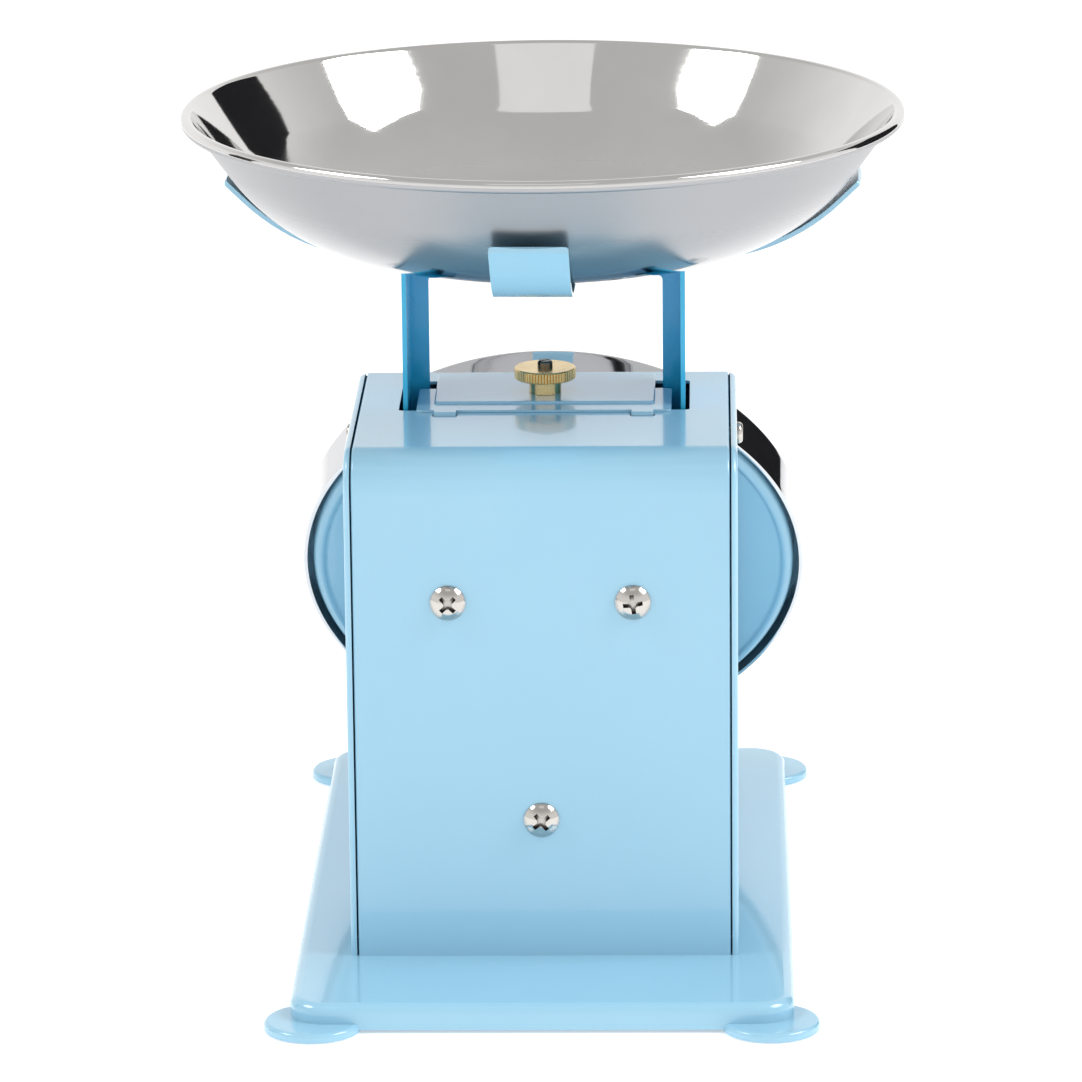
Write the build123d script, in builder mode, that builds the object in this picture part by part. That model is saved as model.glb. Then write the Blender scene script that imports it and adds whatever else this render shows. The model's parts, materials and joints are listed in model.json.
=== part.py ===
from build123d import *
import math
import os

os.makedirs("parts", exist_ok=True)

# Kitchen scale with a lift-off bowl. Millimetres, +Z up, origin on the floor under the middle
# of the base. The dial faces -Y and the plain back faces +Y.

# ---- Sheet and fits
SHEET = 1.0  # painted sheet of the housing and the base
FRAME_SHEET = 1.5  # sheet of the mechanism and of the tray support
RUNNING_FIT = 0.05  # radial clearance of a pin or shaft in its bearing
GAP = 0.3  # clearance between bodies that pass each other

# ---- Base
BASE_HALF_X = 81.3
BASE_HALF_Y = 142.5
BASE_TOP = 9.5
BASE_CORNER = 12.0
FOOT_X = 73.6
FOOT_Y = 137.3
FOOT_RADIUS = 15.8
PAN_BOTTOM = 1.2
EAR_BOTTOM = 0.4
EAR_TOP = 3.2
PAD_HEIGHT = 1.8
PAD_RADIUS = 12.0
PAD_STEM = 2.0
PAD_HEAD = 1.2
PAD_FIT = 0.2
BASE_EDGE = 3.4  # rounding of the base's top edge
EAR_EDGE = 1.4  # rounding of an ear's top edge

# ---- Housing
HOUSING_HALF_X = 63.5
COVER_HALF_X = 61.0
COVER_TOP = 178.5
COVER_BACK = 92.8
COVER_BEND = 12.7
FRONT_TOP_Y = -20.5
SLOPE = 31.3  # lean of the front wall from vertical, degrees
HEM = 6.0
COVER_RETURN = 12.0  # depth of the cover's folded side edges
OPENING_HALF_X = 48.0
OPENING_FRONT = -8.0
OPENING_REAR = 32.3

# ---- Bowl and its support; everything that is weighed hangs on the line x = 0, y = LOAD_Y
LOAD_Y = 13.5
BOWL_SHEET = 0.8
BOWL_FLOOR = 229.8
BOWL_FLAT = 50.0
BOWL_CORNER = 66.0
BOWL_WALL = 53.5  # slope of the wall near the rim, degrees
RIM_RADIUS = 117.0
RIM_Z = 274.5
RIM_BEAD = 2.0
SPIDER_TOP = 229.5
ARM_WIDTH = 25.4
ARM_SLOPE = 44.0  # of an arm beside the bowl, degrees
SIDE_ARM = (67.0, 104.8, 253.4)  # bend radius, tip radius and tip height
END_ARM = (45.0, 105.4, 251.6)  # the same for the front and rear arms
TIP_CIRCLE = 104.9  # the arms' ends are cut to this radius
SPIDER_TURN = -1.25  # the support sits slightly askew on its posts, degrees

# ---- Tray frame
POST_OUTER = 46.6
POST_INNER = 39.0
POST_FRONT = -3.5
POST_REAR = 29.0
POST_BOTTOM = 62.0
CROSSBAR_BOTTOM = 216.0
TRAVEL = 15.2  # of the tray at full load

# ---- Parallel guide
PIVOT_Y = 75.0
UPPER_PIVOT_Z = 115.0
LOWER_PIVOT_Z = 70.0
LEVER = 60.0
ROD_RADIUS = 2.5
PIN_RADIUS = 2.0
LEVER_X = 49.0  # inner face of a lever arm
EAR_X = 53.0  # inner face of a frame ear

# ---- Springs and zero adjustment
SPRING_X = 14.0
SPRING_RADIUS = 7.0
SPRING_WIRE = 1.6
LOAD_BAR_Z = 84.0
HANGER_Z = 159.5
SCREW_RADIUS = 2.5
KNOB_RADIUS = 10.2
KNOB_NECK = 5.3
KNOB_Z = 184.9
KNOB_TOP = 188.7
SCREW_TOP = 190.9
BRIDGE_TOP = 180.1
BRIDGE_SHEET = 0.8
BRIDGE_FLANGE_TOP = 179.4
TAB_X = 32.5
TAB_Y = 39.0
TAB_WIDTH = 7.2
TAB_SLOT = 3.0

# ---- Dial drum, on the front wall
DRUM_Z = 97.6
DRUM_RADIUS = 86.8
DRUM_DEPTH = 19.5
CASE_RADIUS = 83.5
DIAL_RADIUS = 80.0
DIAL_DEPTH = 8.0

# ---- Rack and pinion
MODULE = 0.5
TEETH = 12
SHAFT_RADIUS = 1.5
PINION_DEPTH = -12.0  # from the front wall, inwards

lean_sin = math.sin(math.radians(SLOPE))
lean_cos = math.cos(math.radians(SLOPE))
rest_angle = math.asin(TRAVEL / 2 / LEVER)
pin_y = PIVOT_Y - LEVER * math.cos(rest_angle)
upper_pin_z = UPPER_PIVOT_Z + TRAVEL / 2
lower_pin_z = LOWER_PIVOT_Z + TRAVEL / 2
pitch_radius = MODULE * TEETH / 2
rack_travel = TRAVEL / lean_cos


def front_y(z, depth=0.0):
    """Y of the front wall at a height, at a depth inside its outer face."""
    return FRONT_TOP_Y - (COVER_TOP - z) * lean_sin / lean_cos + depth / lean_cos


# The drum's planes: on FACE, x is +X, y runs up the slope and z points out of the dial.
drum_centre = (0, front_y(DRUM_Z), DRUM_Z)
outward = (0, -lean_cos, lean_sin)
FACE = Plane(origin=drum_centre, x_dir=(1, 0, 0), z_dir=outward)
DRUM_SECTION = Plane(origin=drum_centre, x_dir=(1, 0, 0), z_dir=(0, -lean_sin, -lean_cos))
DRUM_AXIS = Axis(drum_centre, outward)
LOAD_AXIS = Axis((0, LOAD_Y, 0), (0, 0, 1))
LOAD_SECTION = Plane(origin=(0, LOAD_Y, 0), x_dir=(1, 0, 0), z_dir=(0, -1, 0))


def on_slope(along, depth):
    """Y and Z of a point on the drum's upright middle plane."""
    y = drum_centre[1] + along * lean_sin - depth * lean_cos
    z = DRUM_Z + along * lean_cos + depth * lean_sin
    return y, z


def dome_radius(rim_radius, height):
    """Radius of the sphere whose cap has this rim radius and height."""
    return (rim_radius**2 + height**2) / (2 * height)


# ---- Screw places
feet = [(x, y) for x in (-FOOT_X, FOOT_X) for y in (-FOOT_Y, FOOT_Y)]
base_screw_places = [(sx * x, y) for sx in (-1, 1) for x, y in ((59, -80), (59, 60), (40, 35), (40, 80))]
back_screw_places = [(-29.6, 129.5), (30.2, 129.5), (0.6, 56)]
bracket_screw_places = [(x, y) for x in (-9, 9) for y in (-16, 16)]
drum_screw_turns = (30, 150, 270)
DRUM_SCREW_CIRCLE = 42.0
DIAL_RIVET_CIRCLE = 66.0
SIDE_SCREW_Y = 30.0
SIDE_SCREW_Z = 170.0
BASE_SCREW_RADIUS = 1.75
BASE_HEAD_RADIUS = 3.5
BASE_HEAD = 2.2
SIDE_HEAD_RADIUS = 3.6
SIDE_HEAD = 2.0
CROSS_SLOT = 0.9
CROSS_SLOT_DEPTH = 1.2
BACK_SCREW_RADIUS = 2.4
SIDE_SCREW_RADIUS = 1.7
BRACKET_SCREW_RADIUS = 1.5
DRUM_SCREW_RADIUS = 2.0
BUSH_RADIUS = 4.0

# =========================================================== base

with BuildPart() as base_pan:
    with BuildSketch(Plane.XY.offset(PAN_BOTTOM)):
        RectangleRounded(2 * BASE_HALF_X, 2 * BASE_HALF_Y, BASE_CORNER)
    extrude(amount=BASE_TOP - PAN_BOTTOM)
    fillet(base_pan.faces().sort_by(Axis.Z)[-1].edges(), BASE_EDGE)
    with BuildSketch(Plane.XY.offset(PAN_BOTTOM)):
        RectangleRounded(2 * (BASE_HALF_X - SHEET), 2 * (BASE_HALF_Y - SHEET), BASE_CORNER - SHEET)
    extrude(amount=BASE_TOP - PAN_BOTTOM - BASE_EDGE, mode=Mode.SUBTRACT)
    with BuildSketch(Plane.XY.offset(BASE_TOP - BASE_EDGE)):
        RectangleRounded(2 * (BASE_HALF_X - BASE_EDGE), 2 * (BASE_HALF_Y - BASE_EDGE),
                         BASE_CORNER - BASE_EDGE)
    extrude(amount=BASE_EDGE - SHEET, mode=Mode.SUBTRACT)
    # A round ear at each corner reaches down to the floor round its rubber pad.
    for x, y in feet:
        with BuildSketch(Plane(origin=(x, y, 0), x_dir=(1, 0, 0), z_dir=(0, -1, 0))):
            with BuildLine():
                Polyline((PAD_STEM, EAR_TOP), (PAD_STEM, PAD_HEIGHT), (PAD_RADIUS + PAD_FIT, PAD_HEIGHT),
                         (PAD_RADIUS + PAD_FIT, EAR_BOTTOM), (FOOT_RADIUS, EAR_BOTTOM),
                         (FOOT_RADIUS, EAR_TOP - EAR_EDGE))
                RadiusArc((FOOT_RADIUS, EAR_TOP - EAR_EDGE), (FOOT_RADIUS - EAR_EDGE, EAR_TOP), -EAR_EDGE)
                Line((FOOT_RADIUS - EAR_EDGE, EAR_TOP), (PAD_STEM, EAR_TOP))
            make_face()
        revolve(axis=Axis((x, y, 0), (0, 0, 1)))
    with BuildSketch(Plane.XY.offset(EAR_TOP - 2 * SHEET)):
        with Locations(*feet):
            Circle(PAD_STEM)
    extrude(amount=2 * SHEET, mode=Mode.SUBTRACT)
    with BuildSketch(Plane.XY):
        with Locations(*feet):
            Circle(PAD_RADIUS + PAD_FIT)
    extrude(amount=PAD_HEIGHT, mode=Mode.SUBTRACT)
    with BuildSketch(Plane.XY.offset(BASE_TOP - 2 * SHEET)):
        with Locations(*base_screw_places):
            Circle(BASE_SCREW_RADIUS)
    extrude(amount=3 * SHEET, mode=Mode.SUBTRACT)
base_pan.part.label = "base_pan"
export_step(base_pan.part, "parts/base_pan.step")

with BuildPart() as foot_pads:
    with BuildSketch(Plane.XY):
        with Locations(*feet):
            Circle(PAD_RADIUS)
    extrude(amount=PAD_HEIGHT)
    fillet(foot_pads.edges().group_by(Axis.Z)[0], 0.4)
    with BuildSketch(Plane.XY.offset(PAD_HEIGHT)):
        with Locations(*feet):
            Circle(PAD_STEM)
    extrude(amount=EAR_TOP - PAD_HEIGHT)
    with BuildSketch(Plane.XY.offset(EAR_TOP)):
        with Locations(*feet):
            Circle(PAD_STEM + 0.8)
    extrude(amount=PAD_HEAD)
foot_pads.part.label = "foot_pads"
export_step(foot_pads.part, "parts/foot_pads.step")

with BuildPart() as base_screws:
    with BuildSketch(Plane.XY.offset(BASE_TOP - SHEET)):
        with Locations(*base_screw_places):
            Circle(BASE_HEAD_RADIUS)
    extrude(amount=-BASE_HEAD)
    fillet(base_screws.edges().group_by(Axis.Z)[0], 0.8)
    with BuildSketch(Plane.XY.offset(BASE_TOP - SHEET)):
        with Locations(*base_screw_places):
            Circle(BASE_SCREW_RADIUS)
    extrude(amount=5.0)
    with BuildSketch(Plane.XY.offset(BASE_TOP - SHEET - BASE_HEAD)):
        with Locations(*base_screw_places):
            Rectangle(BASE_HEAD_RADIUS + 0.5, CROSS_SLOT)
            Rectangle(CROSS_SLOT, BASE_HEAD_RADIUS + 0.5)
    extrude(amount=CROSS_SLOT_DEPTH, mode=Mode.SUBTRACT)
base_screws.part.label = "base_screws"
export_step(base_screws.part, "parts/base_screws.step")

# =========================================================== housing


def side_outline(inset=0.0):
    """Outline of the housing from the side, set in from its front, top and back."""
    top = COVER_TOP - inset
    rear = COVER_BACK - inset
    bend = COVER_BEND - inset
    bottom = BASE_TOP + inset
    with BuildSketch() as outline:
        with BuildLine():
            Polyline((rear - bend, top), (front_y(top, inset), top), (front_y(bottom, inset), bottom),
                     (rear, bottom), (rear, top - bend))
            RadiusArc((rear - bend, top), (rear, top - bend), bend)
        make_face()
    return outline.sketch


def bent_sheet_outline(thickness, inset=0.0):
    """Top and back of the housing from the side, as one strip of a given thickness."""
    outer = COVER_BEND - inset
    inner = outer - thickness
    top = COVER_TOP - inset
    rear = COVER_BACK - inset
    with BuildSketch() as outline:
        with BuildLine():
            Line((FRONT_TOP_Y, top), (rear - outer, top))
            RadiusArc((rear - outer, top), (rear, top - outer), outer)
            Polyline((rear, top - outer), (rear, BASE_TOP), (rear - thickness, BASE_TOP),
                     (rear - thickness, top - outer))
            RadiusArc((rear - thickness, top - outer), (rear - outer, top - thickness), -inner)
            Polyline((rear - outer, top - thickness), (FRONT_TOP_Y, top - thickness), (FRONT_TOP_Y, top))
        make_face()
    return outline.sketch


def runs_up_the_slope(edge):
    direction = edge.tangent_at(0.5)
    return abs(direction.Y) > 0.4 and abs(direction.Z) > 0.4


with BuildPart() as housing_shell:
    with BuildSketch(Plane.YZ):
        add(side_outline())
    extrude(amount=HOUSING_HALF_X, both=True)
    fillet(housing_shell.edges().filter_by(GeomType.LINE).filter_by(runs_up_the_slope), 4.0)
    rim = housing_shell.edges().filter_by(lambda edge: edge.center().Z > BASE_TOP + 1)
    rear_rim = rim.filter_by(lambda edge: abs(abs(edge.center().X) - HOUSING_HALF_X) < 0.1
                             and not runs_up_the_slope(edge))
    fillet(rear_rim, 1.6)
    # The hollow between the folded edges, open at the top, the back and the bottom.
    with BuildSketch(Plane.YZ):
        with BuildLine():
            Polyline((COVER_BACK + 1, 0), (front_y(0, SHEET), 0),
                     (front_y(COVER_TOP + 1, SHEET), COVER_TOP + 1),
                     (COVER_BACK + 1, COVER_TOP + 1), close=True)
        make_face()
    extrude(amount=HOUSING_HALF_X - 2 * SHEET, both=True, mode=Mode.SUBTRACT)
    # Behind the hem each side is a single sheet.
    for side in (-1, 1):
        with BuildSketch(Plane.YZ.offset(side * (HOUSING_HALF_X - 2 * SHEET))):
            add(side_outline(HEM))
        extrude(amount=side * SHEET, mode=Mode.SUBTRACT)
    # The cover lies on the front wall's top edge.
    with BuildSketch(Plane.XY.offset(COVER_TOP - SHEET)):
        with Locations((0, FRONT_TOP_Y)):
            Rectangle(2 * (COVER_HALF_X + GAP), 12)
    extrude(amount=2 * SHEET, mode=Mode.SUBTRACT)
    # Flanges along the bottom, for the screws from below.
    for side in (-1, 1):
        with BuildSketch(Plane.XY.offset(BASE_TOP)):
            with Locations((side * (HOUSING_HALF_X - SHEET - 4), -10)):
                Rectangle(8, 170)
        extrude(amount=SHEET)
    with BuildSketch(Plane.XY.offset(BASE_TOP)):
        with Locations(*base_screw_places):
            Circle(BASE_SCREW_RADIUS)
    extrude(amount=SHEET, mode=Mode.SUBTRACT)
    with BuildSketch(FACE):
        Circle(BUSH_RADIUS)
        with Locations(*bracket_screw_places):
            Circle(BRACKET_SCREW_RADIUS)
        with PolarLocations(DRUM_SCREW_CIRCLE, 3, start_angle=drum_screw_turns[0]):
            Circle(DRUM_SCREW_RADIUS)
    extrude(amount=-3 * SHEET, mode=Mode.SUBTRACT)
    with BuildSketch(Plane.YZ):
        with Locations((SIDE_SCREW_Y, SIDE_SCREW_Z)):
            Circle(SIDE_SCREW_RADIUS)
    extrude(amount=HOUSING_HALF_X + 1, both=True, mode=Mode.SUBTRACT)
housing_shell.part.label = "housing_shell"
export_step(housing_shell.part, "parts/housing_shell.step")

with BuildPart() as rear_cover:
    with BuildSketch(Plane.YZ):
        add(bent_sheet_outline(COVER_RETURN))
    extrude(amount=COVER_HALF_X, both=True)
    outer_rim = rear_cover.edges().filter_by(
        lambda edge: abs(abs(edge.center().X) - COVER_HALF_X) < 0.1
        and (edge.center().Z > COVER_TOP - 5 or edge.center().Y > COVER_BACK - 5))
    fillet(outer_rim, 0.9)
    with BuildSketch(Plane.YZ):
        add(bent_sheet_outline(COVER_RETURN - SHEET / 2, inset=SHEET))
    extrude(amount=COVER_HALF_X - SHEET, both=True, mode=Mode.SUBTRACT)
    with BuildSketch(Plane.XY.offset(COVER_TOP - SHEET)):
        with Locations((0, FRONT_TOP_Y)):
            Rectangle(2 * COVER_HALF_X, 5)
    extrude(amount=-COVER_RETURN, mode=Mode.SUBTRACT)
    with BuildSketch(Plane.XY.offset(COVER_TOP - 2 * SHEET)):
        with Locations((0, (OPENING_FRONT + OPENING_REAR) / 2)):
            RectangleRounded(2 * OPENING_HALF_X, OPENING_REAR - OPENING_FRONT, 1.2)
        with Locations((-TAB_X, TAB_Y), (TAB_X, TAB_Y)):
            Rectangle(TAB_WIDTH + 1.0, TAB_SLOT)
    extrude(amount=3 * SHEET, mode=Mode.SUBTRACT)
    with BuildSketch(Plane.XZ.offset(-COVER_BACK - 1)):
        with Locations(*back_screw_places):
            Circle(BACK_SCREW_RADIUS)
    extrude(amount=4 * SHEET, mode=Mode.SUBTRACT)
    with BuildSketch(Plane.YZ):
        with Locations((SIDE_SCREW_Y, SIDE_SCREW_Z)):
            Circle(SIDE_SCREW_RADIUS)
    extrude(amount=HOUSING_HALF_X, both=True, mode=Mode.SUBTRACT)
rear_cover.part.label = "rear_cover"
export_step(rear_cover.part, "parts/rear_cover.step")

with BuildPart() as cover_side_screws:
    for side in (-1, 1):
        with BuildSketch(Plane.YZ.offset(side * HOUSING_HALF_X)):
            with Locations((SIDE_SCREW_Y, SIDE_SCREW_Z)):
                Circle(SIDE_HEAD_RADIUS)
        extrude(amount=side * SIDE_HEAD)
        with BuildSketch(Plane.YZ.offset(side * HOUSING_HALF_X)):
            with Locations((SIDE_SCREW_Y, SIDE_SCREW_Z)):
                Circle(SIDE_SCREW_RADIUS)
        extrude(amount=-side * 6.0)
    rims = cover_side_screws.edges().filter_by(
        lambda edge: abs(edge.center().X) > HOUSING_HALF_X + 1 and edge.length > 20)
    fillet(rims, 1.4)
    for side in (-1, 1):
        with BuildSketch(Plane.YZ.offset(side * (HOUSING_HALF_X + SIDE_HEAD))):
            with Locations((SIDE_SCREW_Y, SIDE_SCREW_Z)):
                Rectangle(SIDE_HEAD_RADIUS + 0.2, CROSS_SLOT)
                Rectangle(CROSS_SLOT, SIDE_HEAD_RADIUS + 0.2)
        extrude(amount=-side * CROSS_SLOT_DEPTH, mode=Mode.SUBTRACT)
cover_side_screws.part.label = "cover_side_screws"
export_step(cover_side_screws.part, "parts/cover_side_screws.step")

BACK_HEAD_RADIUS = 5.75
BACK_HEAD_HEIGHT = 3.4
BACK_HEAD_EDGE = 0.6
BACK_SHANK = 7.0
RECESS_SPAN = 6.4
RECESS_WIDTH = 1.4
RECESS_DEPTH = 2.4
back_dome = dome_radius(BACK_HEAD_RADIUS, BACK_HEAD_HEIGHT - BACK_HEAD_EDGE)
BACK_RECESS_TURNS = (8, 45, 38)  # how far each screw was driven home, degrees

with BuildPart() as back_screws:
    for x, z in back_screw_places:
        with BuildSketch(Plane(origin=(x, COVER_BACK, z), x_dir=(1, 0, 0), z_dir=(0, 0, 1))):
            with BuildLine():
                Polyline((0, BACK_HEAD_HEIGHT), (0, -BACK_SHANK), (BACK_SCREW_RADIUS, -BACK_SHANK),
                         (BACK_SCREW_RADIUS, 0),
                         (BACK_HEAD_RADIUS, 0), (BACK_HEAD_RADIUS, BACK_HEAD_EDGE))
                RadiusArc((BACK_HEAD_RADIUS, BACK_HEAD_EDGE), (0, BACK_HEAD_HEIGHT), -back_dome)
            make_face()
        revolve(axis=Axis((x, 0, z), (0, 1, 0)))
    for (x, z), turn in zip(back_screw_places, BACK_RECESS_TURNS):
        top_of_head = Plane(origin=(x, COVER_BACK + BACK_HEAD_HEIGHT, z), x_dir=(1, 0, 0), z_dir=(0, 1, 0))
        with BuildSketch(top_of_head):
            Rectangle(RECESS_SPAN, RECESS_WIDTH, rotation=turn)
            Rectangle(RECESS_WIDTH, RECESS_SPAN, rotation=turn)
            Circle(RECESS_WIDTH)
        extrude(amount=-RECESS_DEPTH, mode=Mode.SUBTRACT)
back_screws.part.label = "back_screws"
export_step(back_screws.part, "parts/back_screws.step")

with BuildPart() as mech_frame:
    frame_rear = COVER_BACK - SHEET
    frame_top = UPPER_PIVOT_Z + 35.0
    with BuildSketch(Plane.XY.offset(BASE_TOP)):
        with Locations((0, frame_rear - FRAME_SHEET / 2)):
            Rectangle(2 * (EAR_X + FRAME_SHEET), FRAME_SHEET)
    extrude(amount=frame_top - BASE_TOP)
    with BuildSketch(Plane.XY.offset(BASE_TOP)):
        with Locations((0, (frame_rear + 27) / 2)):
            Rectangle(2 * (EAR_X + FRAME_SHEET), frame_rear - 27)
    extrude(amount=FRAME_SHEET)
    for side in (-1, 1):
        with BuildSketch(Plane.YZ.offset(side * EAR_X)):
            with BuildLine():
                Polyline((frame_rear, BASE_TOP), (frame_rear, frame_top), (frame_rear - 10, frame_top),
                         (PIVOT_Y - 9, UPPER_PIVOT_Z + 12), (PIVOT_Y - 9, BASE_TOP), close=True)
            make_face()
            with Locations((PIVOT_Y, UPPER_PIVOT_Z), (PIVOT_Y, LOWER_PIVOT_Z)):
                Circle(ROD_RADIUS, mode=Mode.SUBTRACT)
        extrude(amount=side * FRAME_SHEET)
    fillet(mech_frame.edges().filter_by(Axis.Z).filter_by(
        lambda edge: edge.center().Y > frame_rear - 0.1 and edge.length > 100), 1.2)
    with BuildSketch(Plane.XZ.offset(-frame_rear)):
        with Locations(*back_screw_places):
            Circle(BACK_SCREW_RADIUS)
    extrude(amount=2 * FRAME_SHEET, mode=Mode.SUBTRACT)
    with BuildSketch(Plane.XY.offset(BASE_TOP)):
        with Locations(*base_screw_places):
            Circle(BASE_SCREW_RADIUS)
    extrude(amount=FRAME_SHEET, mode=Mode.SUBTRACT)
mech_frame.part.label = "mech_frame"
export_step(mech_frame.part, "parts/mech_frame.step")

# =========================================================== tray frame and bowl support

crossbar_top = SPIDER_TOP - FRAME_SHEET
spider_rivet_places = [(x, LOAD_Y + y) for x in (-30, 30) for y in (-7, 7)]
LOAD_RIVET_Z = LOAD_BAR_Z + 7
RIVET = 1.6
RIVET_HEAD_RADIUS = 2.8
RIVET_HEAD = 1.0
SPIDER_RIVET = 2.0
SPIDER_RIVET_HEAD_RADIUS = 3.4
SPIDER_RIVET_HEAD = 1.2
LOAD_BAR_WIDTH = 13.0
LOAD_BAR_EAR = 11.0
ARM_RIVET_X = 4.0
PIN_SLOT = 2 * PIN_RADIUS + 0.9  # room for the pins' small sideways swing
PIN_SLOT_HEIGHT = 2 * PIN_RADIUS + 0.2

with BuildPart() as tray_frame:
    # Front web: an upside-down U with rounded inner corners.
    with BuildSketch(Plane.XZ.offset(-POST_FRONT)) as web:
        with Locations((0, (crossbar_top + POST_BOTTOM) / 2)):
            Rectangle(2 * POST_OUTER, crossbar_top - POST_BOTTOM)
        with Locations((0, (CROSSBAR_BOTTOM + POST_BOTTOM) / 2)):
            Rectangle(2 * POST_INNER, CROSSBAR_BOTTOM - POST_BOTTOM, mode=Mode.SUBTRACT)
        fillet(web.vertices().filter_by(
            lambda v: abs(v.X) < POST_OUTER - 1 and abs(v.Y - CROSSBAR_BOTTOM) < 1), 1.5)
    extrude(amount=-FRAME_SHEET)
    # Side flanges down both posts, and the seat on top.
    for side in (-1, 1):
        with BuildSketch(Plane.YZ.offset(side * POST_OUTER)):
            with Locations(((POST_FRONT + POST_REAR) / 2, (crossbar_top + POST_BOTTOM) / 2)):
                Rectangle(POST_REAR - POST_FRONT, crossbar_top - POST_BOTTOM)
            with Locations((pin_y - 0.24, upper_pin_z), (pin_y - 0.24, lower_pin_z)):
                SlotOverall(PIN_SLOT, PIN_SLOT_HEIGHT, mode=Mode.SUBTRACT)
            with Locations((LOAD_Y, LOAD_RIVET_Z)):
                Circle(RIVET, mode=Mode.SUBTRACT)
        extrude(amount=-side * FRAME_SHEET)
    with BuildSketch(Plane.XY.offset(crossbar_top)):
        with Locations((0, (POST_FRONT + POST_REAR) / 2)):
            Rectangle(2 * POST_OUTER, POST_REAR - POST_FRONT)
        with Locations(*spider_rivet_places):
            Circle(SPIDER_RIVET, mode=Mode.SUBTRACT)
    extrude(amount=-FRAME_SHEET)
    fillet(tray_frame.edges().filter_by(Axis.Z).filter_by(
        lambda edge: abs(edge.center().Y - POST_FRONT) < 0.1
            and abs(abs(edge.center().X) - POST_OUTER) < 0.1), 1.4)
tray_frame.part.label = "tray_frame"
export_step(tray_frame.part, "parts/tray_frame.step")

with BuildPart() as load_bar:
    bar_half = POST_OUTER - FRAME_SHEET
    with BuildSketch(Plane.XY.offset(LOAD_BAR_Z)):
        with Locations((0, LOAD_Y)):
            Rectangle(2 * bar_half, LOAD_BAR_WIDTH)
        with Locations((-SPRING_X, LOAD_Y), (SPRING_X, LOAD_Y)):
            Circle(2.4, mode=Mode.SUBTRACT)
    extrude(amount=FRAME_SHEET)
    for side in (-1, 1):
        with BuildSketch(Plane.YZ.offset(side * bar_half)):
            with Locations((LOAD_Y, LOAD_BAR_Z + LOAD_BAR_EAR / 2)):
                Rectangle(LOAD_BAR_WIDTH, LOAD_BAR_EAR)
            with Locations((LOAD_Y, LOAD_RIVET_Z)):
                Circle(RIVET, mode=Mode.SUBTRACT)
        extrude(amount=-side * FRAME_SHEET)
    with BuildSketch(Plane.XY.offset(LOAD_BAR_Z)):
        with Locations((-ARM_RIVET_X, LOAD_Y), (ARM_RIVET_X, LOAD_Y)):
            Circle(RIVET)
    extrude(amount=FRAME_SHEET, mode=Mode.SUBTRACT)
load_bar.part.label = "load_bar"
export_step(load_bar.part, "parts/load_bar.step")

with BuildPart() as load_bar_rivets:
    for side in (-1, 1):
        with BuildSketch(Plane.YZ.offset(side * (bar_half - FRAME_SHEET))):
            with Locations((LOAD_Y, LOAD_RIVET_Z)):
                Circle(RIVET)
        extrude(amount=side * 2 * FRAME_SHEET)
        with BuildSketch(Plane.YZ.offset(side * (bar_half - FRAME_SHEET))):
            with Locations((LOAD_Y, LOAD_RIVET_Z)):
                Circle(RIVET_HEAD_RADIUS)
        extrude(amount=-side * RIVET_HEAD)
        with BuildSketch(Plane.YZ.offset(side * POST_OUTER)):
            with Locations((LOAD_Y, LOAD_RIVET_Z)):
                Circle(RIVET_HEAD_RADIUS)
        extrude(amount=side * RIVET_HEAD)
load_bar_rivets.part.label = "load_bar_rivets"
export_step(load_bar_rivets.part, "parts/load_bar_rivets.step")

with BuildPart() as spider:
    # Each arm from the side: flat, then an easy bend under the bowl to a straight tab beside it.
    arm_low = SPIDER_TOP - FRAME_SHEET
    arm_rise = math.sin(math.radians(ARM_SLOPE))
    arm_run = math.cos(math.radians(ARM_SLOPE))
    for turn in range(4):
        arm_bend, tip_radius, tip_z = END_ARM if turn % 2 else SIDE_ARM
        straight = (tip_z - arm_low - arm_bend * (1 - arm_run)) / arm_rise
        knee = tip_radius - arm_bend * arm_rise - straight * arm_run
        heading = math.radians(90 * turn + SPIDER_TURN)
        arm_plane = Plane(origin=(0, LOAD_Y, 0), x_dir=(math.cos(heading), math.sin(heading), 0),
                          z_dir=(math.sin(heading), -math.cos(heading), 0))
        with BuildSketch(arm_plane):
            with BuildLine():
                flat = Line((0, arm_low), (knee, arm_low))
                bend = JernArc(start=flat @ 1, tangent=flat % 1, radius=arm_bend, arc_size=ARM_SLOPE)
                Line(bend @ 1, (tip_radius, tip_z))
                offset(amount=FRAME_SHEET, side=Side.LEFT)
            make_face()
        extrude(amount=ARM_WIDTH / 2, both=True)
    fillet(spider.edges().filter_by(
        lambda edge: abs(edge.length - FRAME_SHEET) < 0.01 and edge.center().Z > SPIDER_TOP + 15), 1.6)
    # The rounded ends follow a circle round the bowl.
    with BuildSketch(Plane.XY.offset(arm_low)):
        with Locations((0, LOAD_Y)):
            Circle(TIP_CIRCLE)
    extrude(amount=RIM_Z - arm_low, mode=Mode.INTERSECT)
    with BuildSketch(Plane.XY.offset(SPIDER_TOP - FRAME_SHEET)):
        with Locations(*spider_rivet_places):
            Circle(SPIDER_RIVET)
    extrude(amount=FRAME_SHEET, mode=Mode.SUBTRACT)
spider.part.label = "spider"
export_step(spider.part, "parts/spider.step")

with BuildPart() as spider_rivets:
    with BuildSketch(Plane.XY.offset(crossbar_top - FRAME_SHEET)):
        with Locations(*spider_rivet_places):
            Circle(SPIDER_RIVET)
    extrude(amount=2 * FRAME_SHEET)
    with BuildSketch(Plane.XY.offset(crossbar_top - FRAME_SHEET)):
        with Locations(*spider_rivet_places):
            Circle(SPIDER_RIVET_HEAD_RADIUS)
    extrude(amount=-SPIDER_RIVET_HEAD)
spider_rivets.part.label = "spider_rivets"
export_step(spider_rivets.part, "parts/spider_rivets.step")

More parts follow.
